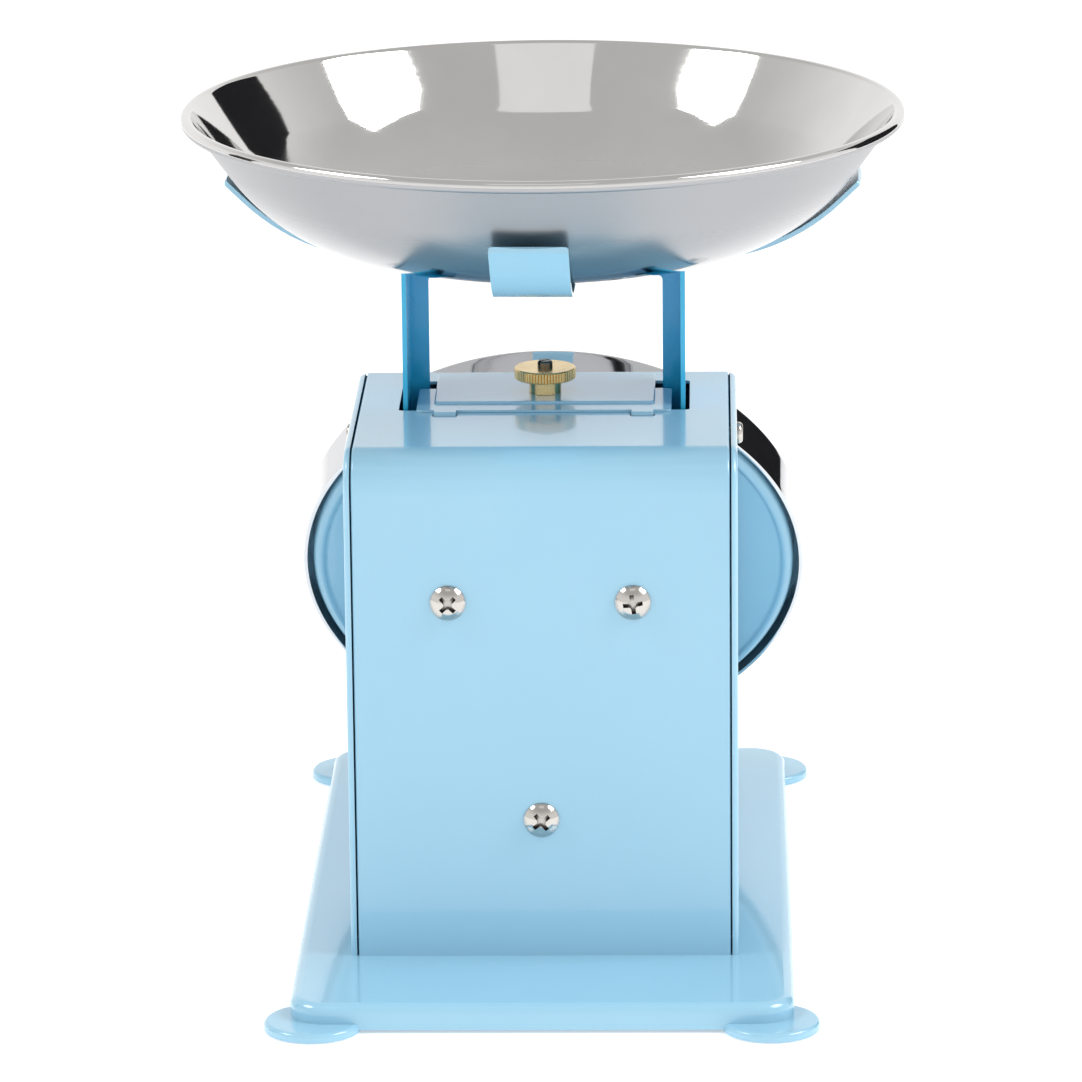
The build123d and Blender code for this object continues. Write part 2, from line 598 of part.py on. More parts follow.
with BuildPart() as bowl:
    with BuildSketch(LOAD_SECTION):
        with BuildLine():
            floor_line = Line((0, BOWL_FLOOR), (BOWL_FLAT, BOWL_FLOOR))
            corner = JernArc(start=floor_line @ 1, tangent=floor_line % 1, radius=BOWL_CORNER,
                             arc_size=BOWL_WALL)
            Line(corner @ 1, (RIM_RADIUS - 0.7, RIM_Z - 0.2))
            offset(amount=BOWL_SHEET, side=Side.LEFT)
        make_face()
        with Locations((RIM_RADIUS, RIM_Z)):
            Circle(RIM_BEAD)
    revolve(axis=LOAD_AXIS)
bowl.part.label = "bowl"
export_step(bowl.part, "parts/bowl.step")

# =========================================================== drive of the pointer, on the tray

rack_foot_y, rack_foot_z = on_slope(-38.0, PINION_DEPTH)
RACK_FOOT_X = 4.6
RACK_ARM_X = 8.0
RACK_PIN_RADIUS = 1.5

with BuildPart() as rack_arm:
    with BuildSketch(Plane.YZ.offset(RACK_ARM_X)):
        with BuildLine():
            Polyline((LOAD_Y + 6.5, LOAD_BAR_Z), (LOAD_Y + 6.5, LOAD_BAR_Z - 12),
                     (rack_foot_y, rack_foot_z - 5),
                     (rack_foot_y - 5, rack_foot_z - 5), (rack_foot_y - 5, rack_foot_z + 5),
                     (rack_foot_y + 2, rack_foot_z + 5), (LOAD_Y - 10, LOAD_BAR_Z - 6),
                     (LOAD_Y - 6.5, LOAD_BAR_Z), close=True)
        make_face()
        with Locations((rack_foot_y, rack_foot_z)):
            Circle(RACK_PIN_RADIUS, mode=Mode.SUBTRACT)
    extrude(amount=FRAME_SHEET)
    with BuildSketch(Plane.XY.offset(LOAD_BAR_Z)):
        with Locations((0, LOAD_Y)):
            Rectangle(2 * (RACK_ARM_X + FRAME_SHEET), LOAD_BAR_WIDTH)
        with Locations((-ARM_RIVET_X, LOAD_Y), (ARM_RIVET_X, LOAD_Y)):
            Circle(RIVET, mode=Mode.SUBTRACT)
    extrude(amount=-FRAME_SHEET)
rack_arm.part.label = "rack_arm"
export_step(rack_arm.part, "parts/rack_arm.step")

with BuildPart() as rack_arm_rivets:
    with BuildSketch(Plane.XY.offset(LOAD_BAR_Z - FRAME_SHEET)):
        with Locations((-ARM_RIVET_X, LOAD_Y), (ARM_RIVET_X, LOAD_Y)):
            Circle(RIVET)
    extrude(amount=2 * FRAME_SHEET)
    for start, height in ((LOAD_BAR_Z - FRAME_SHEET, -RIVET_HEAD), (LOAD_BAR_Z + FRAME_SHEET, RIVET_HEAD)):
        with BuildSketch(Plane.XY.offset(start)):
            with Locations((-ARM_RIVET_X, LOAD_Y), (ARM_RIVET_X, LOAD_Y)):
                Circle(RIVET_HEAD_RADIUS - 0.2)
        extrude(amount=height)
rack_arm_rivets.part.label = "rack_arm_rivets"
export_step(rack_arm_rivets.part, "parts/rack_arm_rivets.step")

with BuildPart() as rack_pin:
    with BuildSketch(Plane.YZ.offset(RACK_FOOT_X - 1.2)):
        with Locations((rack_foot_y, rack_foot_z)):
            Circle(RACK_PIN_RADIUS)
    extrude(amount=RACK_ARM_X + FRAME_SHEET - RACK_FOOT_X + 1.2)
    with BuildSketch(Plane.YZ.offset(RACK_ARM_X + FRAME_SHEET)):
        with Locations((rack_foot_y, rack_foot_z)):
            Circle(2.4)
    extrude(amount=1.0)
rack_pin.part.label = "rack_pin"
export_step(rack_pin.part, "parts/rack_pin.step")

RACK_TOP = 33.0
RACK_BOTTOM = -33.0
RACK_ROOT = 0.45
RACK_TIP = 0.4
RACK_BACK = 7.0
RACK_THICK = 4.0
rack_pitch = math.pi * MODULE
rack_teeth = math.ceil(rack_travel / rack_pitch) + 4

with BuildPart() as rack:
    with BuildSketch(FACE.offset(PINION_DEPTH - RACK_THICK / 2)):
        with Locations(((pitch_radius + RACK_ROOT + RACK_BACK) / 2, (RACK_TOP + RACK_BOTTOM) / 2)):
            Rectangle(RACK_BACK - pitch_radius - RACK_ROOT, RACK_TOP - RACK_BOTTOM)
        # Teeth towards the pinion; one stands opposite the pinion's centre line at rest.
        for number in range(-2, rack_teeth - 2):
            with Locations((pitch_radius, number * rack_pitch)):
                Polygon((RACK_ROOT + 0.1, -0.47), (RACK_ROOT + 0.1, 0.47), (-RACK_TIP, 0.18),
                        (-RACK_TIP, -0.18),
                        align=None)
    extrude(amount=RACK_THICK)
    # Foot with a level slot for the pin of the rack arm.
    slot_travel = TRAVEL * lean_sin / lean_cos
    slot_middle = (rack_foot_y + slot_travel / 2, rack_foot_z)
    with BuildSketch(Plane.YZ.offset(RACK_FOOT_X)):
        with Locations(slot_middle):
            RectangleRounded(slot_travel + 11, 11, 2.0)
            SlotOverall(slot_travel + 2 * RACK_PIN_RADIUS + 0.4, 2 * RACK_PIN_RADIUS + 0.16,
                        mode=Mode.SUBTRACT)
    extrude(amount=FRAME_SHEET)
rack.part.label = "rack"
export_step(rack.part, "parts/rack.step")

# =========================================================== parallel guide

LEVER_WIDTH = 10.0
LEVER_TIE = 16.0  # from the pivot to the cross plate between the arms
LEVER_PIN_HEAD_RADIUS = 3.0
LEVER_PIN_HEAD = 1.2

for name, pivot_z in (("upper", UPPER_PIVOT_Z), ("lower", LOWER_PIVOT_Z)):
    lever_plane = Plane(origin=(0, PIVOT_Y, pivot_z), z_dir=(1, 0, 0),
                        x_dir=(0, -math.cos(rest_angle), math.sin(rest_angle)))
    with BuildPart() as lever:
        for side in (-1, 1):
            with BuildSketch(lever_plane.offset(side * LEVER_X)):
                with Locations((LEVER / 2, 0)):
                    SlotCenterToCenter(LEVER, LEVER_WIDTH)
                Circle(ROD_RADIUS + RUNNING_FIT, mode=Mode.SUBTRACT)
                with Locations((LEVER, 0)):
                    Circle(PIN_RADIUS, mode=Mode.SUBTRACT)
            extrude(amount=side * FRAME_SHEET)
        with BuildSketch(lever_plane):
            with Locations((LEVER_TIE, 0)):
                Rectangle(FRAME_SHEET, LEVER_WIDTH)
        extrude(amount=LEVER_X + FRAME_SHEET / 2, both=True)
    lever.part.label = name + "_lever"
    export_step(lever.part, f"parts/{name}_lever.step")
    with BuildPart() as lever_pins:
        for side in (-1, 1):
            with BuildSketch(lever_plane.offset(side * (POST_OUTER - FRAME_SHEET - LEVER_PIN_HEAD))):
                with Locations((LEVER, 0)):
                    Circle(PIN_RADIUS)
            extrude(amount=side * (LEVER_X + FRAME_SHEET - POST_OUTER + FRAME_SHEET + LEVER_PIN_HEAD))
            with BuildSketch(lever_plane.offset(side * (LEVER_X + FRAME_SHEET))):
                with Locations((LEVER, 0)):
                    Circle(LEVER_PIN_HEAD_RADIUS)
            extrude(amount=side * LEVER_PIN_HEAD)
    lever_pins.part.label = name + "_lever_pins"
    export_step(lever_pins.part, f"parts/{name}_lever_pins.step")
    with BuildPart() as pivot_rod:
        with BuildSketch(lever_plane):
            Circle(ROD_RADIUS)
        extrude(amount=EAR_X + FRAME_SHEET + 1.5, both=True)
    pivot_rod.part.label = name + "_pivot_rod"
    export_step(pivot_rod.part, f"parts/{name}_pivot_rod.step")

# =========================================================== springs and zero adjustment

SPRING_BOTTOM = LOAD_BAR_Z + FRAME_SHEET + 1.0
SPRING_TOP = HANGER_Z - 0.8
HOOK_HOLE = 2.0
HANGER_THICK = 2.0

for name, spring_x in (("left", -SPRING_X), ("right", SPRING_X)):
    with BuildPart() as main_spring:
        with BuildSketch(Plane.XY.offset(SPRING_BOTTOM)):
            with Locations((spring_x, LOAD_Y)):
                Circle(SPRING_RADIUS)
        extrude(amount=SPRING_TOP - SPRING_BOTTOM)
        with BuildSketch(Plane.XY.offset(SPRING_BOTTOM + SPRING_WIRE)):
            with Locations((spring_x, LOAD_Y)):
                Circle(SPRING_RADIUS - SPRING_WIRE)
        extrude(amount=SPRING_TOP - SPRING_BOTTOM - 2 * SPRING_WIRE, mode=Mode.SUBTRACT)
        # Stems of the end hooks, through the load bar and the hanger.
        with BuildSketch(Plane.XY.offset(LOAD_BAR_Z - 2.5)):
            with Locations((spring_x, LOAD_Y)):
                Circle(SPRING_WIRE / 2)
        extrude(amount=SPRING_BOTTOM - LOAD_BAR_Z + 2.5)
        with BuildSketch(Plane.XY.offset(SPRING_TOP)):
            with Locations((spring_x, LOAD_Y)):
                Circle(SPRING_WIRE / 2)
        extrude(amount=HANGER_Z + HANGER_THICK + 2.5 - SPRING_TOP)
    main_spring.part.label = "main_spring_" + name
    export_step(main_spring.part, f"parts/main_spring_{name}.step")

with BuildPart() as spring_hanger:
    with BuildSketch(Plane.XY.offset(HANGER_Z)):
        with Locations((0, LOAD_Y)):
            SlotOverall(2 * SPRING_X + 12, 11)
            Circle(SCREW_RADIUS, mode=Mode.SUBTRACT)
        with Locations((-SPRING_X, LOAD_Y), (SPRING_X, LOAD_Y)):
            Circle(HOOK_HOLE, mode=Mode.SUBTRACT)
    extrude(amount=HANGER_THICK)
spring_hanger.part.label = "spring_hanger"
export_step(spring_hanger.part, "parts/spring_hanger.step")

with BuildPart() as zero_screw:
    with BuildSketch(Plane.XY.offset(HANGER_Z - 2.5)):
        with Locations((0, LOAD_Y)):
            Circle(SCREW_RADIUS)
    extrude(amount=SCREW_TOP - HANGER_Z + 2.5)
    chamfer(zero_screw.edges().group_by(Axis.Z)[-1], 0.5)
    with BuildSketch(Plane.XY.offset(HANGER_Z - 2.5)):
        with Locations((0, LOAD_Y)):
            RegularPolygon(4.5, 6)
    extrude(amount=2.5)
    with BuildSketch(Plane.XY.offset(SCREW_TOP)):
        with Locations((0, LOAD_Y)):
            Rectangle(2 * SCREW_RADIUS + 1, 0.9, rotation=35)
    extrude(amount=-1.3, mode=Mode.SUBTRACT)
zero_screw.part.label = "zero_screw"
export_step(zero_screw.part, "parts/zero_screw.step")

PLATEAU_HALF_X = 36.5
PLATEAU_FRONT = -12.0
PLATEAU_REAR = 27.0
FLANGE_HALF_X = 42.0
FLANGE_FRONT = 6.0
FLANGE_REAR = 35.6
TAB_DROP = 5.0

with BuildPart() as zero_bridge:
    # Raised middle, a shallow tray pressed upwards; its front wall stands on the cover.
    with BuildSketch(Plane.XY.offset(COVER_TOP)):
        with Locations((0, (PLATEAU_FRONT + PLATEAU_REAR) / 2)):
            RectangleRounded(2 * PLATEAU_HALF_X, PLATEAU_REAR - PLATEAU_FRONT, 1.5)
    extrude(amount=BRIDGE_TOP - COVER_TOP)
    fillet(zero_bridge.faces().sort_by(Axis.Z)[-1].edges(), 0.6)
    with BuildSketch(Plane.XY.offset(COVER_TOP)):
        with Locations((0, (PLATEAU_FRONT + PLATEAU_REAR) / 2)):
            Rectangle(2 * (PLATEAU_HALF_X - BRIDGE_SHEET), PLATEAU_REAR - PLATEAU_FRONT - 2 * BRIDGE_SHEET)
    extrude(amount=BRIDGE_TOP - COVER_TOP - BRIDGE_SHEET, mode=Mode.SUBTRACT)
    # Flange behind and beside it.
    with BuildSketch(Plane.XY.offset(BRIDGE_FLANGE_TOP - BRIDGE_SHEET)):
        with Locations((0, (FLANGE_FRONT + FLANGE_REAR) / 2)):
            RectangleRounded(2 * FLANGE_HALF_X, FLANGE_REAR - FLANGE_FRONT, 2.0)
        with Locations((0, (FLANGE_FRONT - 3 + PLATEAU_REAR - BRIDGE_SHEET) / 2)):
            Rectangle(2 * (PLATEAU_HALF_X - BRIDGE_SHEET), PLATEAU_REAR - BRIDGE_SHEET - FLANGE_FRONT + 3,
                      mode=Mode.SUBTRACT)
    extrude(amount=BRIDGE_SHEET)
    # Two tabs turned down through the cover.
    for side in (-1, 1):
        with BuildSketch(Plane.YZ.offset(side * TAB_X)):
            with BuildLine():
                FilletPolyline((FLANGE_REAR - 2, BRIDGE_FLANGE_TOP),
                               (TAB_Y + BRIDGE_SHEET / 2, BRIDGE_FLANGE_TOP),
                               (TAB_Y + BRIDGE_SHEET / 2, COVER_TOP - TAB_DROP), radius=1.2)
                offset(amount=BRIDGE_SHEET, side=Side.RIGHT)
            make_face()
        extrude(amount=TAB_WIDTH / 2, both=True)
    with BuildSketch(Plane.XY.offset(COVER_TOP)):
        with Locations((0, LOAD_Y)):
            Circle(SCREW_RADIUS + 2 * RUNNING_FIT)
    extrude(amount=BRIDGE_TOP, mode=Mode.SUBTRACT)
zero_bridge.part.label = "zero_bridge"
export_step(zero_bridge.part, "parts/zero_bridge.step")

KNURLS = 64

with BuildPart() as zero_knob:
    with BuildSketch(LOAD_SECTION):
        with BuildLine():
            Polyline((SCREW_RADIUS + RUNNING_FIT, BRIDGE_TOP + 0.1), (KNOB_NECK, BRIDGE_TOP + 0.1),
                     (KNOB_NECK, KNOB_Z), (KNOB_RADIUS, KNOB_Z), (KNOB_RADIUS, KNOB_TOP),
                     (SCREW_RADIUS + RUNNING_FIT, KNOB_TOP), close=True)
        make_face()
    revolve(axis=LOAD_AXIS)
    chamfer(zero_knob.edges().filter_by(
        lambda edge: edge.length > 50 and edge.center().Z > KNOB_Z - 1), 0.4)
    with BuildSketch(Plane.XY.offset(KNOB_Z)):
        with Locations((0, LOAD_Y)):
            with PolarLocations(KNOB_RADIUS, KNURLS):
                Polygon((0.2, 0.4), (0.2, -0.4), (-0.4, 0), align=None)
    extrude(amount=KNOB_TOP - KNOB_Z, mode=Mode.SUBTRACT)
zero_knob.part.label = "zero_knob"
export_step(zero_knob.part, "parts/zero_knob.step")

# =========================================================== bearings and pointer shaft

BRACKET_DEPTH = 19.0
BRACKET_HALF_X = 14.0
BRACKET_HALF_Y = 12.0
BUSH_BORE = SHAFT_RADIUS + RUNNING_FIT

with BuildPart() as bearing_bracket:
    with BuildSketch(FACE.offset(-BRACKET_DEPTH)):
        Rectangle(2 * BRACKET_HALF_X, 2 * BRACKET_HALF_Y)
        Circle(BUSH_RADIUS, mode=Mode.SUBTRACT)
    extrude(amount=FRAME_SHEET)
    for side in (-1, 1):
        with BuildSketch(FACE.offset(-BRACKET_DEPTH)):
            with Locations((0, side * (BRACKET_HALF_Y - FRAME_SHEET / 2))):
                Rectangle(2 * BRACKET_HALF_X, FRAME_SHEET)
        extrude(amount=BRACKET_DEPTH - SHEET)
        with BuildSketch(FACE.offset(-SHEET)):
            with Locations((0, side * (BRACKET_HALF_Y + 4.5))):
                Rectangle(2 * BRACKET_HALF_X, 9)
            with Locations(*bracket_screw_places):
                Circle(BRACKET_SCREW_RADIUS, mode=Mode.SUBTRACT)
        extrude(amount=-FRAME_SHEET)
    # Windows that guide the rack.
    with BuildSketch(FACE.offset(PINION_DEPTH - RACK_THICK / 2 - GAP)):
        with Locations(((pitch_radius - RACK_TIP - GAP + RACK_BACK + GAP) / 2, 0)):
            Rectangle(RACK_BACK - pitch_radius + RACK_TIP + 2 * GAP, 2 * BRACKET_HALF_Y + 1)
    extrude(amount=RACK_THICK + 2 * GAP, mode=Mode.SUBTRACT)
bearing_bracket.part.label = "bearing_bracket"
export_step(bearing_bracket.part, "parts/bearing_bracket.step")

with BuildPart() as bracket_screws:
    with BuildSketch(FACE.offset(-SHEET - FRAME_SHEET)):
        with Locations(*bracket_screw_places):
            Circle(3.0)
    extrude(amount=-1.8)
    with BuildSketch(FACE.offset(-SHEET - FRAME_SHEET)):
        with Locations(*bracket_screw_places):
            Circle(BRACKET_SCREW_RADIUS)
    extrude(amount=SHEET + FRAME_SHEET + 0.8)
    with BuildSketch(FACE.offset(-SHEET - FRAME_SHEET - 1.8)):
        with Locations(*bracket_screw_places):
            Rectangle(3.4, 0.8)
    extrude(amount=1.0, mode=Mode.SUBTRACT)
bracket_screws.part.label = "bracket_screws"
export_step(bracket_screws.part, "parts/bracket_screws.step")


def bush_section(seat_start, seat_end, flanges):
    """Half section of a flanged bush on the drum's axis: radius across, depth upwards."""
    with BuildSketch() as section:
        with Locations(((BUSH_BORE + BUSH_RADIUS) / 2, (seat_start + seat_end) / 2)):
            Rectangle(BUSH_RADIUS - BUSH_BORE, seat_end - seat_start)
        for flange_start, flange_end in flanges:
            with Locations(((BUSH_BORE + BUSH_RADIUS + 2) / 2, (flange_start + flange_end) / 2)):
                Rectangle(BUSH_RADIUS + 2 - BUSH_BORE, flange_end - flange_start)
    return section.sketch


with BuildPart() as rear_bush:
    with BuildSketch(DRUM_SECTION):
        seat = -BRACKET_DEPTH + FRAME_SHEET
        add(bush_section(-BRACKET_DEPTH - 0.5, seat + 0.1, [(seat, seat + 1.2)]))
    revolve(axis=DRUM_AXIS)
rear_bush.part.label = "rear_bush"
export_step(rear_bush.part, "parts/rear_bush.step")

with BuildPart() as front_bush:
    with BuildSketch(DRUM_SECTION):
        add(bush_section(-SHEET - 0.1, 2 * SHEET + 0.1,
                         [(-SHEET - 1.2, -SHEET), (2 * SHEET, 2 * SHEET + 1.2)]))
    revolve(axis=DRUM_AXIS)
front_bush.part.label = "front_bush"
export_step(front_bush.part, "parts/front_bush.step")

POINTER_DEPTH = 10.6
POINTER_SHEET = 0.8
POINTER_REACH = 63.0
POINTER_TAIL = 22.0
POINTER_HUB = 7.0
SHAFT_END = POINTER_DEPTH + POINTER_SHEET + 1.2

with BuildPart() as pointer_shaft:
    with BuildSketch(FACE.offset(-BRACKET_DEPTH - 1.5)):
        Circle(SHAFT_RADIUS)
    extrude(amount=SHAFT_END + BRACKET_DEPTH + 1.5)
    with BuildSketch(FACE.offset(2 * SHEET + 1.6)):
        Circle(3.0)
    extrude(amount=1.0)
pointer_shaft.part.label = "pointer_shaft"
export_step(pointer_shaft.part, "parts/pointer_shaft.step")

PINION_WIDTH = 5.0
PINION_ROOT = 2.4
PINION_TIP = 3.4

with BuildPart() as pinion:
    with BuildSketch(FACE.offset(PINION_DEPTH - PINION_WIDTH / 2)):
        Circle(PINION_ROOT)
        # A gap between two teeth faces the rack at rest.
        with PolarLocations(0.001, TEETH, start_angle=180 / TEETH):
            Polygon((PINION_ROOT - 0.3, -0.5), (PINION_TIP, -0.17), (PINION_TIP, 0.17),
                    (PINION_ROOT - 0.3, 0.5),
                    align=None)
        Circle(SHAFT_RADIUS, mode=Mode.SUBTRACT)
    extrude(amount=PINION_WIDTH)
    with BuildSketch(FACE.offset(PINION_DEPTH + PINION_WIDTH / 2)):
        Circle(PINION_ROOT)
        Circle(SHAFT_RADIUS, mode=Mode.SUBTRACT)
    extrude(amount=-PINION_DEPTH - PINION_WIDTH / 2 - SHEET - 1.7)
pinion.part.label = "pinion"
export_step(pinion.part, "parts/pinion.step")

with BuildPart() as pointer:
    with BuildSketch(FACE.offset(POINTER_DEPTH)):
        Polygon((-2.6, 0), (2.6, 0), (0.5, POINTER_REACH), (-0.5, POINTER_REACH), align=None)
        Polygon((-2.2, 0), (2.2, 0), (4.2, -POINTER_TAIL), (-4.2, -POINTER_TAIL), align=None)
        Circle(POINTER_HUB)
        Circle(SHAFT_RADIUS, mode=Mode.SUBTRACT)
    extrude(amount=POINTER_SHEET)
pointer.part.label = "pointer"
export_step(pointer.part, "parts/pointer.step")

with BuildPart() as pointer_cap:
    with BuildSketch(DRUM_SECTION):
        with BuildLine():
            cap_start = POINTER_DEPTH + POINTER_SHEET
            Polyline((SHAFT_RADIUS, cap_start), (5.5, cap_start), (5.5, cap_start + 0.8))
            RadiusArc((5.5, cap_start + 0.8), (0, cap_start + 2.5), -dome_radius(5.5, 1.7))
            Polyline((0, cap_start + 2.5), (0, SHAFT_END), (SHAFT_RADIUS, SHAFT_END),
                     (SHAFT_RADIUS, cap_start))
        make_face()
    revolve(axis=DRUM_AXIS)
pointer_cap.part.label = "pointer_cap"
export_step(pointer_cap.part, "parts/pointer_cap.step")

# =========================================================== dial drum

CASE_FRONT = 15.0
GLASS_THICK = 2.0
DIAL_SHEET = 0.8
DIAL_RIVET = 1.5

with BuildPart() as drum_case:
    with BuildSketch(DRUM_SECTION):
        with BuildLine():
            FilletPolyline((BUSH_RADIUS, SHEET), (79, SHEET), (80, 0), (CASE_RADIUS, 0),
                           (CASE_RADIUS, CASE_FRONT - SHEET), (CASE_RADIUS + 2, CASE_FRONT - SHEET),
                           radius=[1.5, 1.5, 2.8, 0.8])
            offset(amount=SHEET, side=Side.LEFT)
        make_face()
    revolve(axis=DRUM_AXIS)
    with BuildSketch(FACE):
        with PolarLocations(DRUM_SCREW_CIRCLE, 3, start_angle=drum_screw_turns[0]):
            Circle(DRUM_SCREW_RADIUS)
        with PolarLocations(DIAL_RIVET_CIRCLE, 3, start_angle=90):
            Circle(DIAL_RIVET)
    extrude(amount=3 * SHEET, mode=Mode.SUBTRACT)
drum_case.part.label = "drum_case"
export_step(drum_case.part, "parts/drum_case.step")

with BuildPart() as bezel_ring:
    with BuildSketch(DRUM_SECTION):
        band = CASE_RADIUS + 2
        with BuildLine():
            Polyline((band, GAP), (DRUM_RADIUS, GAP), (DRUM_RADIUS, DRUM_DEPTH - 2))
            RadiusArc((DRUM_RADIUS, DRUM_DEPTH - 2), (DRUM_RADIUS - 2, DRUM_DEPTH), -2)
            Polyline((DRUM_RADIUS - 2, DRUM_DEPTH), (DIAL_RADIUS + 0.5, DRUM_DEPTH - 1.3),
                     (DIAL_RADIUS + 0.5, CASE_FRONT + GLASS_THICK), (band, CASE_FRONT + GLASS_THICK),
                     (band, GAP))
        make_face()
    revolve(axis=DRUM_AXIS)
bezel_ring.part.label = "bezel_ring"
export_step(bezel_ring.part, "parts/bezel_ring.step")

with BuildPart() as dial_glass:
    with BuildSketch(FACE.offset(CASE_FRONT)):
        Circle(CASE_RADIUS + 1.5)
    extrude(amount=GLASS_THICK)
dial_glass.part.label = "dial_glass"
export_step(dial_glass.part, "parts/dial_glass.step")

with BuildPart() as dial_plate:
    with BuildSketch(FACE.offset(DIAL_DEPTH)):
        Circle(DIAL_RADIUS)
        Circle(BUSH_RADIUS, mode=Mode.SUBTRACT)
        with PolarLocations(DIAL_RIVET_CIRCLE, 3, start_angle=90):
            Circle(DIAL_RIVET, mode=Mode.SUBTRACT)
    extrude(amount=DIAL_SHEET)
dial_plate.part.label = "dial_plate"
export_step(dial_plate.part, "parts/dial_plate.step")

with BuildPart() as dial_rivets:
    for start, end, radius in ((SHEET, DIAL_DEPTH + DIAL_SHEET, DIAL_RIVET), (2 * SHEET, DIAL_DEPTH, 3.0),
                               (DIAL_DEPTH + DIAL_SHEET, DIAL_DEPTH + 1.4, 2.4)):
        with BuildSketch(FACE.offset(start)):
            with PolarLocations(DIAL_RIVET_CIRCLE, 3, start_angle=90):
                Circle(radius)
        extrude(amount=end - start)
dial_rivets.part.label = "dial_rivets"
export_step(dial_rivets.part, "parts/dial_rivets.step")

with BuildPart() as drum_screws:
    with BuildSketch(FACE.offset(2 * SHEET)):
        with PolarLocations(DRUM_SCREW_CIRCLE, 3, start_angle=drum_screw_turns[0]):
            Circle(3.6)
    extrude(amount=1.8)
    with BuildSketch(FACE.offset(-5.0)):
        with PolarLocations(DRUM_SCREW_CIRCLE, 3, start_angle=drum_screw_turns[0]):
            Circle(DRUM_SCREW_RADIUS)
    extrude(amount=5.0 + 2 * SHEET)
    with BuildSketch(FACE.offset(-SHEET)):
        with PolarLocations(DRUM_SCREW_CIRCLE, 3, start_angle=drum_screw_turns[0]):
            RegularPolygon(3.8, 6)
    extrude(amount=-2.4)
drum_screws.part.label = "drum_screws"
export_step(drum_screws.part, "parts/drum_screws.step")
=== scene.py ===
import json
import math

import bmesh
import bpy
from mathutils import Matrix, Vector


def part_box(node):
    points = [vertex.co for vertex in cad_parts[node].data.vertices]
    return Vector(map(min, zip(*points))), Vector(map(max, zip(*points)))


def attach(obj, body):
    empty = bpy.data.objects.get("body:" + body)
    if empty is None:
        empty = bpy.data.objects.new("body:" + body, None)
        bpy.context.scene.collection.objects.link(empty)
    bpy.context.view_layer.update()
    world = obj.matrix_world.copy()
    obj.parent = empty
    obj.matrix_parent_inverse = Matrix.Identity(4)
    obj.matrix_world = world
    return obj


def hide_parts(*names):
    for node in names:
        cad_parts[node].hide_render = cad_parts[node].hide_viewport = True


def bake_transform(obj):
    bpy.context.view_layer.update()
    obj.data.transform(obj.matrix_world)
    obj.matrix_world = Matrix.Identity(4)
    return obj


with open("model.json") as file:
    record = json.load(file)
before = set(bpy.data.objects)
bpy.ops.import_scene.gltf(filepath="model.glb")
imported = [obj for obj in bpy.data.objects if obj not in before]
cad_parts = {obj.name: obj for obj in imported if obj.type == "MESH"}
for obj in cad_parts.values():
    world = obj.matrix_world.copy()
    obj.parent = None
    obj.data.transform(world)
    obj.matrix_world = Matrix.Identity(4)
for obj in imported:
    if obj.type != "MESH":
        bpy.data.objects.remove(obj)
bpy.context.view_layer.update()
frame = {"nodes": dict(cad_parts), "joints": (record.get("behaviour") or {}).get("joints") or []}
nodes = frame["nodes"]
joints = {joint["name"]: joint for joint in frame["joints"]}

MM = 0.001

# ---------------------------------------------------------------- places, from the frame

# Middle of the dial drum on the front wall, and the way the dial faces.
pointer_joint = joints["pointer_spin"]
DRUM_CENTRE = Vector(pointer_joint["pos_m"])
DIAL_OUT = Vector(pointer_joint["axis"]).normalized()
if DIAL_OUT.y > 0:
    DIAL_OUT = -DIAL_OUT
DIAL_UP = (Vector((0, 0, 1)) - DIAL_OUT * DIAL_OUT.z).normalized()
DIAL_RIGHT = DIAL_UP.cross(DIAL_OUT)

bowl_low, bowl_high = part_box("bowl")
BOWL_MIDDLE = (bowl_low + bowl_high) / 2


def depth_of(node):
    """Lowest and highest distance of a node's points out along the dial's axis, from the drum's middle."""
    depths = [(vertex.co - DRUM_CENTRE).dot(DIAL_OUT) for vertex in nodes[node].data.vertices]
    return min(depths), max(depths)


def radius_of(node):
    """Largest distance of a node's points from the dial's axis."""
    return max(
        (vertex.co - DRUM_CENTRE - DIAL_OUT * (vertex.co - DRUM_CENTRE).dot(DIAL_OUT)).length
        for vertex in nodes[node].data.vertices
    )


# ---------------------------------------------------------------- materials

PAINT = (0.315, 0.575, 0.735)
PAINT_SHADE = (0.295, 0.555, 0.720)
# Painted shade: the tray frame has the same light blue paint as the body; these deeper, more saturated
# blues stand in for the shade it sits in under the bowl.
TRAY_PAINTED_SHADE = (0.035, 0.520, 0.830)
TRAY_PAINTED_SHADE_TONE = (0.030, 0.485, 0.795)
# Painted shade: near-black laid into the recesses by ambient occlusion, reaching this far.
RECESS_PAINTED_SHADE = (0.03, 0.027, 0.025)
PAINTED_SHADE_REACH = 2.2 * MM

# The bowl's floor is satin, and polished from this radius out.
SATIN_RADIUS = 84 * MM
POLISH_RADIUS = 100 * MM
SATIN_ROUGHNESS = 0.24
# Its outside is shinier near the bottom than higher up.
BUFFED_ROUGHNESS = (0.07, 0.40)
BUFFED_START = 6 * MM
BUFFED_END = 32 * MM
# Painted shade: a much darker steel tint for the downward-facing outside of the bowl, dimming its
# reflections.
OUTSIDE_PAINTED_SHADE_TINT = (0.42, 0.42, 0.43)


